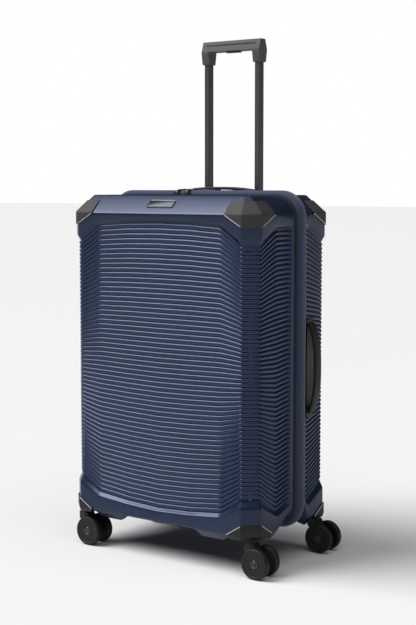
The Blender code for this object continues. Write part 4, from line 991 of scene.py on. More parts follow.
def shell_rows(line, face_recess, rib_count, rib_depth):
    """(inset, z, rib turn, rib reach) all the way down one line."""
    reach = line.reach()
    full = (line.recess(face_recess) + rib_depth) * reach
    share = line.rim_share()
    frame_top = TOP - line.level(FRAME_TOP)
    field_top = TOP - line.level(FIELD_TOP)
    field_low = UNDERSIDE + mix(line.level(FIELD_LOW), FIELD_LOW_AT_RIM, share)
    frame_low = UNDERSIDE + mix(line.level(FRAME_LOW), FRAME_LOW_AT_RIM, share)
    rows = [(inset, z, 0.0, 0.0) for inset, z in top_rows(line)]
    for t in SLOPE_STEPS:
        rows.append((full * ramp(t), mix(frame_top, field_top, t), 0.0, 0.0))
    for k in range(rib_count):
        for step in RIB_STEPS:
            turn = k + step
            rows.append((full, mix(field_top, field_low, turn / rib_count), turn, reach))
    for t in (0.0,) + SLOPE_STEPS[1:] + (1.0,):
        rows.append((full * (1 - ramp(t)), mix(field_low, frame_low, t), 0.0, 0.0))
    rows += [(inset, z, 0.0, 0.0) for inset, z in bottom_rows(line)]
    return rows


def shell_lines(rim):
    """Lines from the right rim round the face to the left rim."""
    strip = rim + RIM_FLANGE
    bend = HALF_Y - FIELD_BEND_Y
    sides = [rim, rim + 0.004, strip]
    sides += [strip + RIM_BEVEL * t for t in (0.2, 0.4, 0.65, 1.0)]
    sides += [bend - 0.003, bend, bend + 0.004, HALF_Y - 0.028]
    sides += [HALF_Y - away + d for away in FOOT_SIDE for d in (-0.002, 0.003)]
    lines = [ShellLine("side", at, rim) for at in sorted(sides) if at >= rim]
    lines += [ShellLine("side_turn", t, rim) for t in (0.25, 0.5, 0.75, 1.0)]
    lines += [ShellLine("facet", 0.5, rim)]
    lines += [ShellLine("face_turn", t, rim) for t in (0.0, 0.25, 0.5, 0.75, 1.0)]
    corner, bend = HALF_X - EDGE_CHAMFER, HALF_X - FIELD_BEND_X
    faces = [corner - 0.010, bend + 0.004, bend, bend - 0.004, bend / 2 + 0.004, bend / 2,
             bend / 2 - 0.004, 0.030, 0.0]
    faces += [HALF_X - away + d for away in FOOT_FRONT for d in (-0.003, 0.003)]
    lines += [ShellLine("face", at, rim) for at in sorted(faces, reverse=True)]
    return lines + [ShellLine(line.kind, line.at, rim, -1) for line in lines[-2::-1]]


def box_mesh(boxes):
    """Points and faces of separate boxes, for cutting."""
    vertices, faces = [], []
    for low, high in boxes:
        base = len(vertices)
        vertices += [(x, y, z) for x in (low[0], high[0]) for y in (low[1], high[1])
                     for z in (low[2], high[2])]
        faces += [tuple(base + i for i in face) for face in
                  ((0, 1, 3, 2), (4, 6, 7, 5), (0, 4, 5, 1), (2, 3, 7, 6), (0, 2, 6, 4),
                   (1, 5, 7, 3))]
    return vertices, faces


def build_shell(node, name, side, rim, face_recess, holes, sizes):
    """One ribbed half shell with its wall and its cut-outs."""
    lines = shell_lines(rim)
    drop = sizes.rib_depth
    columns = []
    turns, reaches, outs = [], [], []
    for line in lines:
        crest = line.point(SIDE_RECESS, 0.4, sizes.rounding)
        valley = line.point(SIDE_RECESS + drop, 0.4, sizes.rounding)
        out = [(a - b) / drop for a, b in zip(crest, valley)]
        column = []
        for inset, z, turn, reach in shell_rows(line, face_recess, sizes.rib_count, drop):
            x, depth, level = line.point(inset, z, sizes.rounding)
            column.append((MIDDLE_X + x, side * depth, level))
            turns.append(turn)
            reaches.append(reach)
            outs += [out[0], side * out[1], 0.0]
        columns.append(column)
    vertices, faces, places = grid(columns)
    height = len(columns[0])
    for end in (0, height - 1):
        loop = [k * height + end for k in range(len(columns))]
        faces.append(tuple(loop))
        places.append([(vertices[i][0], vertices[i][1]) for i in loop])
    item = make_piece(name, vertices, faces, "satin_shell", places=places)
    mesh = item.data
    for key, kind, field, values in (("rib_turn", "FLOAT", "value", turns),
                                     ("rib_reach", "FLOAT", "value", reaches),
                                     ("outward", "FLOAT_VECTOR", "vector", outs)):
        mesh.attributes.new(key, kind, "POINT").data.foreach_set(field, values)
    work = bmesh.new()
    work.from_mesh(mesh)
    bmesh.ops.recalc_face_normals(work, faces=work.faces)
    work.to_mesh(mesh)
    work.free()
    top_face = max(mesh.polygons, key=lambda face: face.area)
    if (top_face.center - Vector((MIDDLE_X, 0.0, 0.4))).dot(top_face.normal) < 0:
        mesh.flip_normals()
    grown(item, shared_tree("Shell ribs", rib_tree), Rib_depth=drop, Fullness=2.6,
          Material=finish("satin_shell"))
    solid = item.modifiers.new("Wall", "SOLIDIFY")
    solid.thickness = sizes.wall
    solid.offset = -1.0
    settled(item)
    for key in ("rib_turn", "rib_reach", "outward"):
        item.data.attributes.remove(item.data.attributes[key])
    if holes:
        cutter = make_piece("cut_guide", *box_mesh(holes), "satin_shell")
        outwards(cutter)
        cut = item.modifiers.new("Cut-outs", "BOOLEAN")
        cut.operation = "DIFFERENCE"
        cut.solver = "MANIFOLD"
        cut.object = cutter
        settled(item, 40.0)
        bpy.data.objects.remove(cutter, do_unlink=True)
    return stand_for(item, node)


def hole_round(node, shrink, top):
    """A cutting box inside a node's own box."""
    low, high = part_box(node)
    return ((low.x + shrink[0], low.y + shrink[1], low.z - 0.001),
            (high.x - shrink[0], high.y - shrink[1], top))


class SUITCASE_OT_shells(bpy.types.Operator):
    """Ribbed half shells with their feet and cut-outs"""
    bl_idname = "suitcase.shells"
    bl_label = "Half shells"

    def execute(self, context):
        sizes = context.scene.case_sizes
        build_shell("front_shell", "ribbed_shell_front", -1, LID_RIM, SIDE_RECESS, [], sizes)
        low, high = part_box("trolley_bezel")
        holes = [((low.x - GAP, low.y - GAP, low.z - GAP),
                  (high.x + GAP, HALF_Y + 0.01, TOP + 0.01))]
        for hand in ("left", "right"):
            holes.append(hole_round("top_handle_bracket_" + hand, (0.0034, 0.0024), TOP + 0.005))
        low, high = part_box("side_handle_base")
        seat = HALF_X - SIDE_RECESS + MIDDLE_X
        well = 0.0129
        for start in (low.z + 0.006, high.z - 0.006 - well):
            holes.append(((low.x - 0.001, low.y, start), (seat + 0.008, high.y, start + well)))
        build_shell("back_shell", "ribbed_shell_back", 1, BACK_RIM, BACK_RECESS, holes, sizes)
        return {"FINISHED"}


# ------------------------------------------------------------ belt, zip and hinge
def rim_route(step, left_side):
    """(point, side, out) stations round the rim, clockwise seen from the front.

    The route starts at the top of the left side; left_side adds the way back up.
    """
    side = Vector((0.0, 1.0, 0.0))
    stations = []

    def straight(start, end, out):
        size = math.hypot(end[0] - start[0], end[1] - start[1])
        count = max(1, round(size / step))
        for k in range(count):
            t = k / count
            stations.append((mix(start[0], end[0], t), mix(start[1], end[1], t), out))

    def arc(centre, radius, start):
        count = max(6, round(radius * math.pi / 2 / min(step, 0.005)))
        for k in range(count):
            turn = math.radians(start - 90.0 * k / count)
            out = (math.cos(turn), math.sin(turn))
            stations.append((centre[0] + radius * out[0], centre[1] + radius * out[1], out))

    high, low = TOP - RIM_TOP_RADIUS, UNDERSIDE + RIM_LOW_RADIUS
    top_x, low_x = HALF_X - RIM_TOP_RADIUS, HALF_X - RIM_LOW_RADIUS
    arc((-top_x, high), RIM_TOP_RADIUS, 180.0)
    straight((-top_x, TOP), (top_x, TOP), (0.0, 1.0))
    arc((top_x, high), RIM_TOP_RADIUS, 90.0)
    straight((HALF_X, high), (HALF_X, low), (1.0, 0.0))
    arc((low_x, low), RIM_LOW_RADIUS, 0.0)
    straight((low_x, UNDERSIDE), (-low_x, UNDERSIDE), (0.0, -1.0))
    arc((-low_x, low), RIM_LOW_RADIUS, -90.0)
    if left_side:
        straight((-HALF_X, low), (-HALF_X, high), (-1.0, 0.0))
    else:
        stations.append((-HALF_X, low, (-1.0, 0.0)))
    return [(Vector((MIDDLE_X + x, 0.0, z)), side, Vector((out[0], 0.0, out[1])))
            for x, z, out in stations]


def belt_profile(low, high, crown, thickness, steps=22):
    """Crowned section of the belt as (y, rise), with rolled edges and two quilting channels."""
    outer = []
    for k in range(steps + 1):
        t = k / steps
        across = abs(2 * t - 1)
        rise = crown * (1 - across ** 3.2) ** 0.62
        channel = math.exp(-((across - 0.60) / 0.045) ** 2)
        outer.append((mix(low, high, t), max(rise - 0.0007 * channel, 0.0007)))
    inner = [(mix(low, high, t), max(rise - thickness, -0.0009)) for t, (_, rise) in
             [(k / steps, outer[k]) for k in range(steps, -1, -1)]]
    inner = [(mix(y, (low + high) / 2, 0.02), rise) for y, rise in inner]
    return outer + inner


class SUITCASE_OT_belt(bpy.types.Operator):
    """Crowned textile belt with its stitching, and the fabric hinge"""
    bl_idname = "suitcase.belt"
    bl_label = "Belt and fabric hinge"

    def execute(self, context):
        sizes = context.scene.case_sizes
        low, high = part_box("zip_belt")
        crown = high.z - TOP
        route = rim_route(0.012, True)
        profile = belt_profile(low.y, high.y, crown, 0.0018)
        vertices, faces, places = swept(route, profile, True)
        belt = outwards(make_piece("textile_belt", vertices, faces, "belt_weave", places=places))
        stand_for(belt, "zip_belt")
        fine = rim_route(0.006, True)
        for name, share in (("front", 0.205), ("back", 0.795)):
            y = mix(low.y, high.y, share)
            rise = crown * (1 - abs(2 * share - 1) ** 3.2) ** 0.62 - 0.0006
            path = [(p + s * y + o * rise, s, o) for p, s, o in fine]
            row_along("belt_stitches_" + name, path, sizes.stitch_pitch,
                      (sizes.stitch, 0.0009, 0.0006), (0.0, 0.0, 0.0), "sewing_thread",
                      "zip_belt", 0.05, True)
        for name, y in (("front", low.y + 0.0008), ("back", high.y - 0.0008)):
            path = [(p + s * y + o * 0.0010, s, o) for p, s, o in fine]
            points, outs = [st[0] for st in path], [st[2] for st in path]
            points.append(points[0])
            outs.append(outs[0])
            bead("belt_piping_" + name, points, outs, circle_profile(0.0009, 8), "tape_weave",
                 "zip_belt")
        self.hinge()
        return {"FINISHED"}

    def hinge(self):
        """Fabric strip on the left side."""
        low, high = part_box("hinge_tape")
        outer = MIDDLE_X - HALF_X - 0.0011
        rows = []
        for k in range(25):
            t = k / 24
            rib = 0.0003 * math.cos(t * 2 * math.pi * 3)
            rows.append([(outer - rib, mix(high.y, low.y, t), mix(low.z, high.z, j / 40))
                         for j in range(41)])
        vertices, faces, places = grid(rows)
        item = make_piece("fabric_hinge", vertices, faces, "belt_weave", places=places)
        solid = item.modifiers.new("Cloth", "SOLIDIFY")
        solid.thickness = 0.0008
        solid.offset = 1.0
        settled(item)
        outwards(item)
        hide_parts("hinge_tape")
        slot_of("hinge_tape")
        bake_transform(item)


class SUITCASE_OT_zip(bpy.types.Operator):
    """Zip tapes, their teeth, the sliders and the pulls"""
    bl_idname = "suitcase.zip"
    bl_label = "Zip"

    def execute(self, context):
        sizes = context.scene.case_sizes
        route = rim_route(0.004, False)
        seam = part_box("zip_tape_front")[1].y + GAP / 2
        for name, sign, shift in (("front", -1, 0.0), ("back", 1, sizes.tooth_pitch / 2)):
            node = "zip_tape_" + name
            low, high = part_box(node)
            rise, sink = 0.00035, -0.0016
            profile = [(low.y, sink), (high.y, sink), (high.y, rise - 0.0002),
                       (high.y - 0.0002, rise), (low.y + 0.0002, rise), (low.y, rise - 0.0002)]
            vertices, faces, places = swept(route, profile, False)
            tape = outwards(make_piece("woven_tape_" + name, vertices, faces, "tape_weave",
                                       places=places, angle=50.0))
            stand_for(tape, node)
            path = [(p + s * seam + o * 0.00070, s, o) for p, s, o in route]
            row_along("zip_teeth_" + name, path, sizes.tooth_pitch,
                      (sizes.tooth_pitch * 0.42, sizes.tooth, 0.0011),
                      (shift, sign * sizes.tooth * 0.36, 0.0), "moulding_plastic", node)
        for hand in ("left", "right"):
            softened("zip_slider_" + hand, "slider_" + hand, "plated_metal", 0.0007, 3)
            self.pull(hand)
        return {"FINISHED"}

    def pull(self, hand):
        """Waisted pull with a raised rim and a slot, over the frame's flat one."""
        item = softened("zip_pull_" + hand, "pull_" + hand, "plated_metal", 0.0004, 3)
        low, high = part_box("zip_pull_" + hand)
        middle = (low.x + high.x) / 2
        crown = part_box("zip_belt")[1].z + 2 * GAP + 0.0018
        rim = [(middle + x, y, crown) for x, y in
               ((-0.0024, high.y - 0.0145), (0.0024, high.y - 0.0145), (0.0024, high.y - 0.0022),
                (-0.0024, high.y - 0.0022), (-0.0024, high.y - 0.0144))]
        points = eased(rim, 0.0016, 4)
        bead("pull_rim_" + hand, points, [Vector((0.0, 0.0, 1.0))] * len(points),
             circle_profile(0.00055, 8), "bright_steel", "zip_pull_" + hand)
        return item


# ------------------------------------------------------------ corners
GUARD_REACH_X = 0.0675
GUARD_REACH_Y = 0.0727
HOUSING_REACH_X = 0.062
HOUSING_REACH_Y = 0.064
HOUSING_RISE = 0.027


class SUITCASE_OT_corners(bpy.types.Operator):
    """Corner guards and caster housings with their bright edge lines"""
    bl_idname = "suitcase.corners"
    bl_label = "Guards and housings"

    def execute(self, context):
        width = context.scene.case_sizes.edge_line
        for side, face in ((-1, "front"), (1, "back")):
            for hand, wing in ((-1, "left"), (1, "right")):
                self.guard(side, hand, face + "_" + wing, width)
                self.housing(side, hand, face + "_" + wing, width)
        return {"FINISHED"}

    def line_over(self, name, corners, hand, side, out, width, node):
        """Bright line along a row of (x, depth, z) points, standing off by out."""
        points, normals = [], []
        for x, depth, z in corners:
            points.append(Vector((MIDDLE_X + hand * x, side * depth, z)))
        eased_points = eased(points, 0.004, 4)
        diagonal = HALF_X - HALF_Y
        for point in eased_points:
            away_x = abs(point.x - MIDDLE_X)
            away_y = abs(point.y)
            lean = (away_x - away_y - diagonal) / EDGE_CHAMFER
            turn = math.radians(45 - 45 * min(max(lean * 1.6, -1.0), 1.0))
            normals.append(Vector((hand * math.cos(turn), side * math.sin(turn), 0.0)))
        profile = [(-width / 2, -0.0004), (width / 2, -0.0004), (width / 2, 0.0003),
                   (width * 0.3, 0.0007), (-width * 0.3, 0.0007), (-width / 2, 0.0003)]
        bead(name, [p + n * out for p, n in zip(eased_points, normals)], normals, profile,
             "edge_line", node)

    def guard(self, side, hand, name, width):
        """Domed six-sided guard with its lower bright line."""
        node = "corner_guard_" + name
        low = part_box(node)[0]
        self.dome(node, "guard_" + name, Vector((hand, side, 1.0)).normalized())
        level = low.z + width / 2
        corners = [(HALF_X - GUARD_REACH_X + 0.001, HALF_Y, RIDGE - 0.001),
                   (HALF_X - EDGE_CHAMFER, HALF_Y, level),
                   (HALF_X, HALF_Y - EDGE_CHAMFER, level),
                   (HALF_X, HALF_Y - GUARD_REACH_Y + 0.001, RIDGE - 0.001)]
        self.line_over("guard_line_" + name, corners, hand, side, GAP + 0.0015, width, node)

    def dome(self, node, name, outward):
        """The guard's outer faces with wide rounded ridges, thickened inwards."""
        item = softened(node, name, "guard_plastic", 0.0)
        work = bmesh.new()
        work.from_mesh(item.data)
        inner = [face for face in work.faces if face.normal.dot(outward) < 0.3]
        bmesh.ops.delete(work, geom=inner, context="FACES")
        bmesh.ops.dissolve_limit(work, angle_limit=math.radians(4), verts=work.verts,
                                 edges=work.edges)
        work.to_mesh(item.data)
        work.free()
        rounded(item, 0.0062, 6, 12.0)
        solid = item.modifiers.new("Wall", "SOLIDIFY")
        solid.thickness = 0.0015
        solid.offset = -1.0
        settled(item, 50.0)
        rounded(item, 0.0004, 2, 50.0)
        return item

    def housing(self, side, hand, name, width):
        """Caster housing with its upper bright line."""
        node = "caster_housing_" + name
        softened(node, "housing_" + name, "moulding_plastic", 0.0012, 3, 20.0)
        rise, crease = UNDERSIDE + HOUSING_RISE, UNDERSIDE + CREASE_RISE
        corners = [(HALF_X - HOUSING_REACH_X + 0.0015, HALF_Y, crease + 0.0004),
                   (HALF_X - EDGE_CHAMFER, HALF_Y, rise - width / 2),
                   (HALF_X, HALF_Y - EDGE_CHAMFER, rise - width / 2),
                   (HALF_X, HALF_Y - HOUSING_REACH_Y + 0.0015, crease + 0.0004)]
        self.line_over("housing_line_" + name, corners, hand, side, GAP + 0.0018, width, node)


# ------------------------------------------------------------ casters
class SUITCASE_OT_casters(bpy.types.Operator):
    """Swivel forks, axles and double wheels"""
    bl_idname = "suitcase.casters"
    bl_label = "Casters"

    def execute(self, context):
        for face in ("front", "back"):
            for wing in ("left", "right"):
                self.caster(face + "_" + wing)
        return {"FINISHED"}

    def caster(self, name):
        """Fork, axle and the two wheels of one corner."""
        softened("caster_fork_" + name, "fork_" + name, "moulding_plastic", 0.0012, 3, 28.0)
        low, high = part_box("axle_" + name)
        hub = (low + high) / 2
        end = (high.y - low.y) / 2
        head, neck = (high.x - low.x) / 2, 0.003
        profile = [(0.0001, -end), (head * 0.55, -end), (head * 0.9, 0.0003 - end),
                   (head, 0.0007 - end), (head, 0.0012 - end), (neck, 0.0012 - end),
                   (neck, end - 0.0012), (head, end - 0.0012), (head, end - 0.0007),
                   (head * 0.9, end - 0.0003), (head * 0.55, end), (0.0001, end)]
        axle = turned("rivet_" + name, profile, hub, "y", "blackened_steel", 32)
        stand_for(axle, "axle_" + name)
        for place, outward in (("front", -1), ("rear", 1)):
            self.wheel("wheel_" + name + "_" + place, outward)

    def wheel(self, node, outward):
        """Disc with softly rounded edges, a dished face and a polished hub ring."""
        low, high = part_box(node)
        centre = (low + high) / 2
        radius, half = (high.z - low.z) / 2, (high.y - low.y) / 2
        edge = 0.0026
        section = [(0.0034, -half + 0.0006), (0.0060, -half), (radius - 0.006, -half)]
        for k in range(6):
            turn = math.radians(-90 + 18 * k)
            section.append((radius - edge + edge * math.cos(turn),
                            -half + edge + edge * math.sin(turn)))
        for k in range(6):
            turn = math.radians(18 * k)
            section.append((radius - edge + edge * math.cos(turn),
                            half - edge + edge * math.sin(turn)))
        section += [(radius - 0.0052, half - 0.0001), (radius - 0.0060, half - 0.0007),
                    (radius * 0.62, half - 0.0010), (0.0096, half - 0.0009),
                    (0.0090, half - 0.0016), (0.0062, half - 0.0016), (0.0058, half - 0.0019),
                    (0.0034, half - 0.0019)]
        tyre = turned("tyre_" + node, [(r, outward * o) for r, o in section], centre, "y",
                      "tread_rubber", 72, True, 28.0)
        stand_for(tyre, node)
        ring = []
        for k in range(12):
            turn = 2 * math.pi * k / 12
            ring.append((0.0071 + 0.0015 * math.cos(turn), half - 0.0011 + 0.0013 * math.sin(turn)))
        hub = turned("hub_ring_" + node, [(r, outward * min(o, half)) for r, o in ring], centre,
                     "y", "glossy_hub", 48, True, 60.0)
        add_to(hub, node)


# ------------------------------------------------------------ trolley
class SUITCASE_OT_trolley(bpy.types.Operator):
    """Sliding tubes, grip, button and tray"""
    bl_idname = "suitcase.trolley"
    bl_label = "Trolley handle"

    def execute(self, context):
        for hand in ("left", "right"):
            self.tube(hand)
            softened("guide_tube_" + hand, "guide_" + hand, "anodised_tube", 0.0003, 2)
        softened("trolley_grip", "grip", "grip_plastic", 0.0034, 5, 15.0)
        softened("release_button", "button", "moulding_plastic", 0.0012, 4)
        softened("trolley_bezel", "tray", "moulding_plastic", 0.0007, 3)
        softened("trolley_tube_foot", "tube_foot", "moulding_plastic", 0.0010, 3)
        low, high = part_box("trolley_grip")
        middle_y = (low.y + high.y) / 2
        for sign in (-1, 1):
            z = high.z - 0.0078
            y = middle_y + sign * 0.0124
            lean = Vector((0.0, sign, 0.37)).normalized()
            points = [Vector((x, y, z)) for x in (low.x + 0.012, MIDDLE_X, high.x - 0.012)]
            bead("grip_groove_" + ("front" if sign < 0 else "back"), points, [lean] * 3,
                 circle_profile(0.0006, 8), "moulding_plastic", "trolley_grip")
        return {"FINISHED"}

    def tube(self, hand):
        """Rounded rectangular tube with two shallow grooves down its faces."""
        node = "slide_tube_" + hand
        low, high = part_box(node)
        centre = (low + high) / 2
        half_x, half_y = (high.x - low.x) / 2, (high.y - low.y) / 2
        outline = []
        corner = 0.0024
        for quarter, (sx, sy) in enumerate(((1, 1), (-1, 1), (-1, -1), (1, -1))):
            for k in range(6):
                turn = math.pi / 2 * (quarter + k / 5)
                outline.append((sx * (half_x - corner) + corner * math.cos(turn),
                                sy * (half_y - corner) + corner * math.sin(turn)))
            if quarter in (0, 2):
                flank = 1 if quarter == 0 else -1
                for x, y in ((0.0026, half_y), (0.0021, half_y - 0.0007),
                             (-0.0021, half_y - 0.0007), (-0.0026, half_y)):
                    outline.append((flank * x, flank * y))
            else:
                flank = -1 if quarter == 1 else 1
                for y, x in ((0.0038, half_x), (0.0033, half_x - 0.0007),
                             (-0.0033, half_x - 0.0007), (-0.0038, half_x)):
                    outline.append((flank * x, -flank * y))
        inner = [(x * (1 - 0.0011 / half_x), y * (1 - 0.0011 / half_y)) for x, y in outline]
        rows = []
        for shape, levels in ((outline, (low.z, low.z + 0.001, centre.z, high.z)),
                              (inner, (high.z, low.z))):
            for z in levels:
                rows.append([(centre.x + x, centre.y + y, z) for x, y in shape])
        vertices, faces, places = grid(rows, True, True)
        item = outwards(make_piece("tube_" + hand, vertices, faces, "anodised_tube",
                                   places=places, angle=28.0))
        stand_for(item, node)


# ------------------------------------------------------------ carry handles
HANDLE_TAB = 0.0085
HANDLE_SHOULDER = 0.0066
HANDLE_THICKNESS = 0.0062


def bow_rows(half, tab, shoulder, crown, thickness, width, steps=34):
    """Sections of a bowed grip: (along, rise, half width, half thickness) from end to end."""
    rows = []
    for k in range(steps + 1):
        t = k / steps
        along = (half - tab / 2) * (2 * t - 1)
        bow = (1 - abs(2 * t - 1) ** 2.4) ** 0.9
        rise = mix(shoulder, crown - thickness / 2, bow)
        slim = 1 - 0.10 * (1 - bow)
        rows.append((along, rise, width / 2 * slim, thickness / 2))
    return rows


def handle_grip(name, node, place, half, tab, foot, shoulder, crown, thickness, width):
    """Bowed grip with a crowned section and upright end tabs, standing for a node."""
    rows = []
    line = [(-half + tab / 2, foot), (-half + tab / 2, shoulder - 0.0030)]
    line += [(r[0], r[1]) for r in bow_rows(half, tab, shoulder, crown, thickness, width)]
    line += [(half - tab / 2, shoulder - 0.0030), (half - tab / 2, foot)]
    count = len(line)
    for k, (along, rise) in enumerate(line):
        before, after = line[max(k - 1, 0)], line[min(k + 1, count - 1)]
        da, dr = after[0] - before[0], after[1] - before[1]
        size = math.hypot(da, dr)
        normal = (-dr / size, da / size)
        upright = k < 2 or k > count - 3
        deep = (tab / 2 if upright else thickness / 2)
        wide = width / 2 - (0.0004 if upright else 0.0)
        if k == 0 or k == count - 1:
            normal = (-1.0, 0.0) if k == 0 else (1.0, 0.0)
        section = []
        for j in range(24):
            turn = 2 * math.pi * j / 24
            c, s = math.cos(turn), math.sin(turn)
            power = 0.32
            u = math.copysign(abs(c) ** power, c) * wide
            v = math.copysign(abs(s) ** (0.62 if s > 0 and not upright else power), s) * deep
            section.append((along + normal[0] * v, u, rise + normal[1] * v))
        rows.append([place(*p) for p in section])
    vertices, faces, places = grid(rows, True, False, True)
    item = outwards(make_piece(name, vertices, faces, "soft_handle", places=places, angle=45.0))
    return stand_for(item, node)


class SUITCASE_OT_handles(bpy.types.Operator):
    """Top and side carry handles with their brackets"""
    bl_idname = "suitcase.handles"
    bl_label = "Carry handles"

    def execute(self, context):
        self.top()
        self.side()
        return {"FINISHED"}

    def top(self):
        """Low bow on the top, between two brackets."""
        low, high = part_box("top_handle_grip")
        middle_y = (low.y + high.y) / 2
        handle_grip("top_bow", "top_handle_grip",
                    lambda along, across, rise: (MIDDLE_X + along, middle_y + across, TOP + rise),
                    (high.x - low.x) / 2, HANDLE_TAB, low.z - TOP + 0.0001, HANDLE_SHOULDER,
                    high.z - TOP, HANDLE_THICKNESS, high.y - low.y)
        for hand in ("left", "right"):
            softened("top_handle_bracket_" + hand, "top_bracket_" + hand, "moulding_plastic",
                     0.0007, 3)

    def side(self):
        """Bowed grip on the side with ridges across its middle."""
        low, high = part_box("side_handle_grip")
        middle = (low + high) / 2
        seat = HALF_X - SIDE_RECESS + MIDDLE_X
        crown = high.x - seat
        half = (high.z - low.z) / 2

        def place(along, across, rise):
            return seat + rise, middle.y + across, middle.z + along

        handle_grip("side_bow", "side_handle_grip", place, half, HANDLE_TAB,
                    low.x - seat + 0.0001, HANDLE_SHOULDER, crown, HANDLE_THICKNESS,
                    high.y - low.y)
        softened("side_handle_base", "side_base", "moulding_plastic", 0.0007, 3)
        sections = bow_rows(half, HANDLE_TAB, HANDLE_SHOULDER, crown, HANDLE_THICKNESS,
                            high.y - low.y, 60)
        out, side = Vector((1.0, 0.0, 0.0)), Vector((0.0, 1.0, 0.0))
        path = [(Vector(place(a, 0.0, rise + 0.0028)), side, out)
                for a, rise, _, _ in sections if abs(a) < 0.034]
        row_along("side_ridges", path, 0.0052, (0.0022, 0.0168, 0.0010), (0.0, 0.0, 0.0),
                  "soft_handle", "side_handle_grip")


# ------------------------------------------------------------ lock and badge
class SUITCASE_OT_lock(bpy.types.Operator):
    """Combination lock and the blank badge"""
    bl_idname = "suitcase.lock"
    bl_label = "Lock and badge"

    def execute(self, context):
        softened("lock_body", "lock_case", "plated_metal", 0.0008, 3)
        softened("lock_release", "lock_slide_button", "bright_steel", 0.0007, 3)
        for place in ("left", "middle", "right"):
            self.dial("lock_dial_" + place)
        self.badge()
        return {"FINISHED"}

    def dial(self, node):
        """Number wheel with rounded rims and ridges round it."""
        low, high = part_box(node)
        centre = (low + high) / 2
        half, radius = (high.x - low.x) / 2, (high.z - low.z) / 2
        inner = radius - 0.00045
        profile = [(0.0001, -half), (inner - 0.0006, -half), (inner, 0.0004 - half),
                   (inner, half - 0.0004), (inner - 0.0006, half), (0.0001, half)]
        wheel = turned("dial_" + node, profile, centre, "x", "moulding_plastic", 40)
        stand_for(wheel, node)
        path = []
        for k in range(60):
            turn = 2 * math.pi * k / 60
            out = Vector((0.0, math.cos(turn), math.sin(turn)))
            path.append((centre + out * inner, Vector((1.0, 0.0, 0.0)), out))
        row_along("ridges_" + node, path, 2 * math.pi * inner / 20,
                  (0.00075, 2 * half - 0.0010, 0.00085), (0.0, 0.0, 0.0), "moulding_plastic",
                  node, 0.0, True)

    def badge(self):
        """Blank plate with a raised rim and a painted highlight strip along its upper edge."""
        softened("badge", "blank_plate", "satin_shell", 0.0005, 3)
        low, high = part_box("badge")
        lean = Vector((0.0, -1.0, 1.0)).normalized()
        up = Vector((0.0, 1.0, 1.0)).normalized()
        centre = (low + high) / 2
        half_x, half_v = (high.x - low.x) / 2, 0.0100
        front = centre + lean * 0.00055
        edge = [front + Vector((sx * (half_x - 0.0014), 0.0, 0.0)) + up * (sv * (half_v - 0.0014))
                for sx, sv in ((-1, 1), (1, 1), (1, -1), (-1, -1))]
        points = [(edge[0] + edge[3]) / 2] + edge + [(edge[0] + edge[3]) / 2]
        smooth = eased(points, 0.0022, 4)
        bead("plate_rim", smooth, [lean] * len(smooth), circle_profile(0.0007, 8), "satin_shell",
             "badge")
        # A bright metal strip along the upper edge alone: painted highlight where light falls on
        # the plate's top
        bright = [front + Vector((x, 0.0, 0.0)) + up * (half_v - 0.0006)
                  for x in (-half_x + 0.002, 0.0, half_x - 0.002)]
        bead("plate_bright_edge", bright, [lean] * 3, circle_profile(0.0006, 8), "edge_line",
             "badge")


# ------------------------------------------------------------ inside
def tub_rows(side, rim, depth, corner, half, low, high, ceiling):
    """Rows of points of a fitted lining, from the top down, with rounded corners."""
    plan = []

    def outline(inset):
        x, far = half - inset, depth - inset
        line = [(x, rim)]
        for k in range(1, 9):
            line.append((x, mix(rim, far - corner, k / 8)))
        for k in range(1, 6):
            turn = math.radians(90 * k / 6)
            line.append((x - corner * (1 - math.cos(turn)), far - corner * (1 - math.sin(turn))))
        for k in range(8):
            line.append((mix(x - corner, 0.0, k / 8), far))
        return line + [(0.0, far)] + [(-a, b) for a, b in line[::-1]]

    levels = [(high, ceiling + 0.012), (high, ceiling), (high - ceiling * 0.5, ceiling * 0.5),
              (high - ceiling, 0.0)]
    levels += [(mix(high - ceiling, low, k / 30), 0.0) for k in range(1, 30)]
    levels += [(low + 0.006, 0.0), (low + 0.002, 0.0015), (low, 0.006), (low, 0.018)]
    for n, (z, inset) in enumerate(levels):
        row = []
        for k, (x, y) in enumerate(outline(inset)):
            pucker = 0.0009 * (math.sin(k * 1.7 + n * 0.9) + math.sin(k * 0.61 - n * 1.3))
            free = 0.0 if n in (0, len(levels) - 1) or k in (0, 41) else 1.0
            row.append((MIDDLE_X + x * (1 - 0.002 * free) - math.copysign(pucker * free, x),
                        side * (y - abs(pucker) * free), z))
        plan.append(row)
    return plan


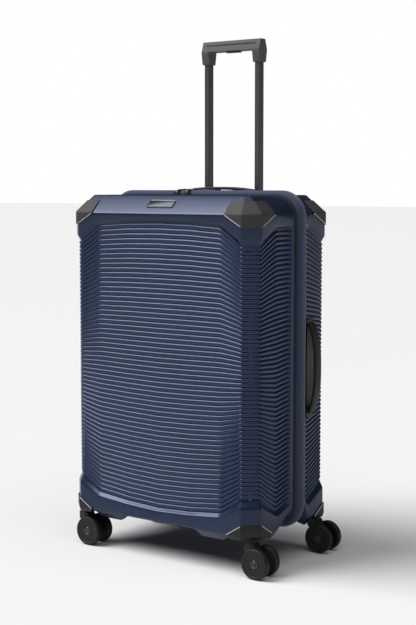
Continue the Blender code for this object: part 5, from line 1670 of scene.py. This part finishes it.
class SUITCASE_OT_inside(bpy.types.Operator):
    """Linings, divider pocket, packing straps and their clip"""
    bl_idname = "suitcase.inside"
    bl_label = "Inside"

    def execute(self, context):
        for node, name, side, corner in (("front_lining", "lining_front", -1, 0.028),
                                         ("back_lining", "lining_back", 1, 0.014)):
            self.lining(node, name, side, corner)
        self.pocket()
        for hand in ("left", "right"):
            softened("packing_strap_" + hand, "strap_" + hand, "tape_weave", 0.0004, 2)
        softened("strap_buckle_plug", "clip_plug", "moulding_plastic", 0.0016, 4)
        softened("strap_buckle_socket", "clip_socket", "moulding_plastic", 0.0016, 4)
        return {"FINISHED"}

    def lining(self, node, name, side, corner):
        """Fitted cloth lining of one half."""
        low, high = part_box(node)
        inner, outer = sorted((abs(low.y), abs(high.y)))
        rows = tub_rows(side, inner, outer - 0.0002, corner, (high.x - low.x) / 2 - 0.0002,
                           low.z + 0.0002, high.z - 0.0002, 0.019)
        vertices, faces, places = grid(rows)
        size = len(rows[0])
        for first in (0, len(rows) - 1):
            loop = [first * size + k for k in range(size)]
            faces.append(tuple(loop))
            places.append([(vertices[i][0], vertices[i][1]) for i in loop])
        item = make_piece(name, vertices, faces, "lining_cloth", places=places, angle=60.0)
        work = bmesh.new()
        work.from_mesh(item.data)
        bmesh.ops.recalc_face_normals(work, faces=work.faces)
        work.to_mesh(item.data)
        work.free()
        area = sum(face.area for face in item.data.polygons)
        solid = item.modifiers.new("Cloth", "SOLIDIFY")
        solid.thickness = 0.0009
        solid.offset = 0.0
        settled(item, 60.0)
        stand_for(item, node)
        depth = outer - inner
        flat = (high.x - low.x + 2 * depth, high.z - low.z + 2 * depth)
        min(area, flat[0] * flat[1])

    def pocket(self):
        """Thin wadded divider pocket with a zip across it."""
        low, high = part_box("front_pocket")
        half_x, half_y, half_z = (high - low) / 2
        middle = (low + high) / 2
        radius, across, down = 0.030, 36, 44
        rows = []
        for side, order in ((1, range(down + 1)), (-1, range(down, -1, -1))):
            for j in order:
                row = []
                for k in range(across + 1):
                    u, v = 2 * k / across - 1, 2 * j / down - 1
                    x, z = half_x * u, half_z * v
                    bulge_x, bulge_z = 1 - abs(u) ** 12, 1 - abs(v) ** 12
                    corner_x = max(abs(x) - half_x + radius, 0.0)
                    corner_z = max(abs(z) - half_z + radius, 0.0)
                    over = math.hypot(corner_x, corner_z)
                    if over > radius:
                        scale = radius / over
                        x = math.copysign(half_x - radius + corner_x * scale, x)
                        z = math.copysign(half_z - radius + corner_z * scale, z)
                    plump = 0.0008 + (half_y - 0.0009) * min(bulge_x, bulge_z)
                    row.append((middle.x + x, middle.y + side * plump, middle.z + z))
                rows.append(row)
        vertices, faces, places = grid(rows, False, True)
        size = across + 1
        count = 2 * (down + 1)
        for end in (0, size - 1):
            for j in range(down):
                a, b = j * size + end, (j + 1) * size + end
                c, d = (count - 2 - j) * size + end, (count - 1 - j) * size + end
                faces.append((a, b, c, d))
                places.append([(0.0, 0.0)] * 4)
        item = outwards(make_piece("divider_pocket", vertices, faces, "lining_cloth",
                                   places=places, angle=60.0))
        stand_for(item, "front_pocket")
        out = Vector((0.0, 1.0, 0.0))
        zip_z = high.z - 0.055
        path = [(Vector((mix(low.x + 0.03, high.x - 0.03, k / 40), high.y - 0.0001, zip_z)),
                 Vector((0.0, 0.0, 1.0)), out) for k in range(41)]
        row_along("pocket_zip_teeth", path, 0.0024, (0.0011, 0.0040, 0.0008), (0.0, 0.0, 0.0),
                  "moulding_plastic", "front_pocket")


# ------------------------------------------------------------ stage
CAMERA_PLACE = (1.6202, -2.1951, 0.757)
CAMERA_YAW = 36.22
CAMERA_PITCH = 5.49
CAMERA_LENS = 76.06


class SUITCASE_OT_stage(bpy.types.Operator):
    """Pale floor, soft lights and the camera"""
    bl_idname = "suitcase.stage"
    bl_label = "Stage"

    def execute(self, context):
        rows = [[(x, y, 0.0) for x in (-40.0, -3.0, 3.0, 40.0)] for y in (-40.0, -3.0, 3.0, 40.0)]
        vertices, faces, places = grid(rows)
        floor = make_piece("studio_floor", vertices, faces, "studio_floor", places=places)
        if floor.data.polygons[0].normal.z < 0:
            floor.data.flip_normals()
        world = bpy.data.worlds.new("Studio")
        world.use_nodes = True
        nodes, links = world.node_tree.nodes, world.node_tree.links
        backdrop = nodes["Background"]
        backdrop.inputs["Strength"].default_value = 1.0
        ray = nodes.new("ShaderNodeLightPath")
        wash = nodes.new("ShaderNodeMix")
        wash.data_type = "RGBA"
        wash.inputs["A"].default_value = (0.08, 0.083, 0.09, 1.0)
        wash.inputs["B"].default_value = (1.0, 1.0, 1.0, 1.0)
        links.new(ray.outputs["Is Camera Ray"], wash.inputs["Factor"])
        links.new(wash.outputs["Result"], backdrop.inputs["Color"])
        context.scene.world = world
        for name, azimuth, elevation, angle, power in (("key_light", -50.0, 50.0, 42.0, 4.2),
                                                       ("top_light", 40.0, 68.0, 70.0, 1.5)):
            lamp = bpy.data.lights.new(name, "SUN")
            lamp.energy = power
            lamp.angle = math.radians(angle)
            item = bpy.data.objects.new(name, lamp)
            turn, rise = math.radians(azimuth), math.radians(elevation)
            toward = Vector((math.sin(turn) * math.cos(rise), -math.cos(turn) * math.cos(rise),
                             math.sin(rise)))
            item.location = toward * 3.0
            item.rotation_euler = toward.to_track_quat("Z", "Y").to_euler()
            context.scene.collection.objects.link(item)
        lens = bpy.data.cameras.new("camera")
        lens.lens = CAMERA_LENS
        camera = bpy.data.objects.new("camera", lens)
        camera.location = CAMERA_PLACE
        camera.rotation_euler = (math.radians(90 - CAMERA_PITCH), 0.0, math.radians(CAMERA_YAW))
        context.scene.collection.objects.link(camera)
        context.scene.camera = camera
        context.scene.view_settings.view_transform = "Standard"
        return {"FINISHED"}


# ------------------------------------------------------------ panel and start
STEPS = (SUITCASE_OT_shells, SUITCASE_OT_belt, SUITCASE_OT_zip, SUITCASE_OT_corners,
         SUITCASE_OT_casters, SUITCASE_OT_trolley, SUITCASE_OT_handles, SUITCASE_OT_lock,
         SUITCASE_OT_inside, SUITCASE_OT_stage)


class SUITCASE_PT_panel(bpy.types.Panel):
    """Sizes, colours and building steps of the suitcase"""
    bl_idname = "SUITCASE_PT_panel"
    bl_label = "Suitcase"
    bl_space_type = "VIEW_3D"
    bl_region_type = "UI"
    bl_category = "Suitcase"

    def draw(self, context):
        for group in (context.scene.case_sizes, context.scene.case_colours):
            column = self.layout.column(align=True)
            for key in group.bl_rna.properties.keys():
                if key not in ("rna_type", "name"):
                    column.prop(group, key)
        for step in STEPS:
            self.layout.operator(step.bl_idname)


CLASSES = (CaseSizes, CaseColours) + STEPS + (SUITCASE_PT_panel,)


def register():
    """Register the classes and the scene's settings."""
    for item in CLASSES:
        bpy.utils.register_class(item)
    bpy.types.Scene.case_sizes = PointerProperty(type=CaseSizes)
    bpy.types.Scene.case_colours = PointerProperty(type=CaseColours)


def unregister():
    """Take them out again."""
    del bpy.types.Scene.case_colours
    del bpy.types.Scene.case_sizes
    for item in reversed(CLASSES):
        bpy.utils.unregister_class(item)


def main():
    """Build every piece in order."""
    register()
    for step in STEPS:
        family, name = step.bl_idname.split(".")
        getattr(getattr(bpy.ops, family), name)()


if __name__ == "__main__":
    main()
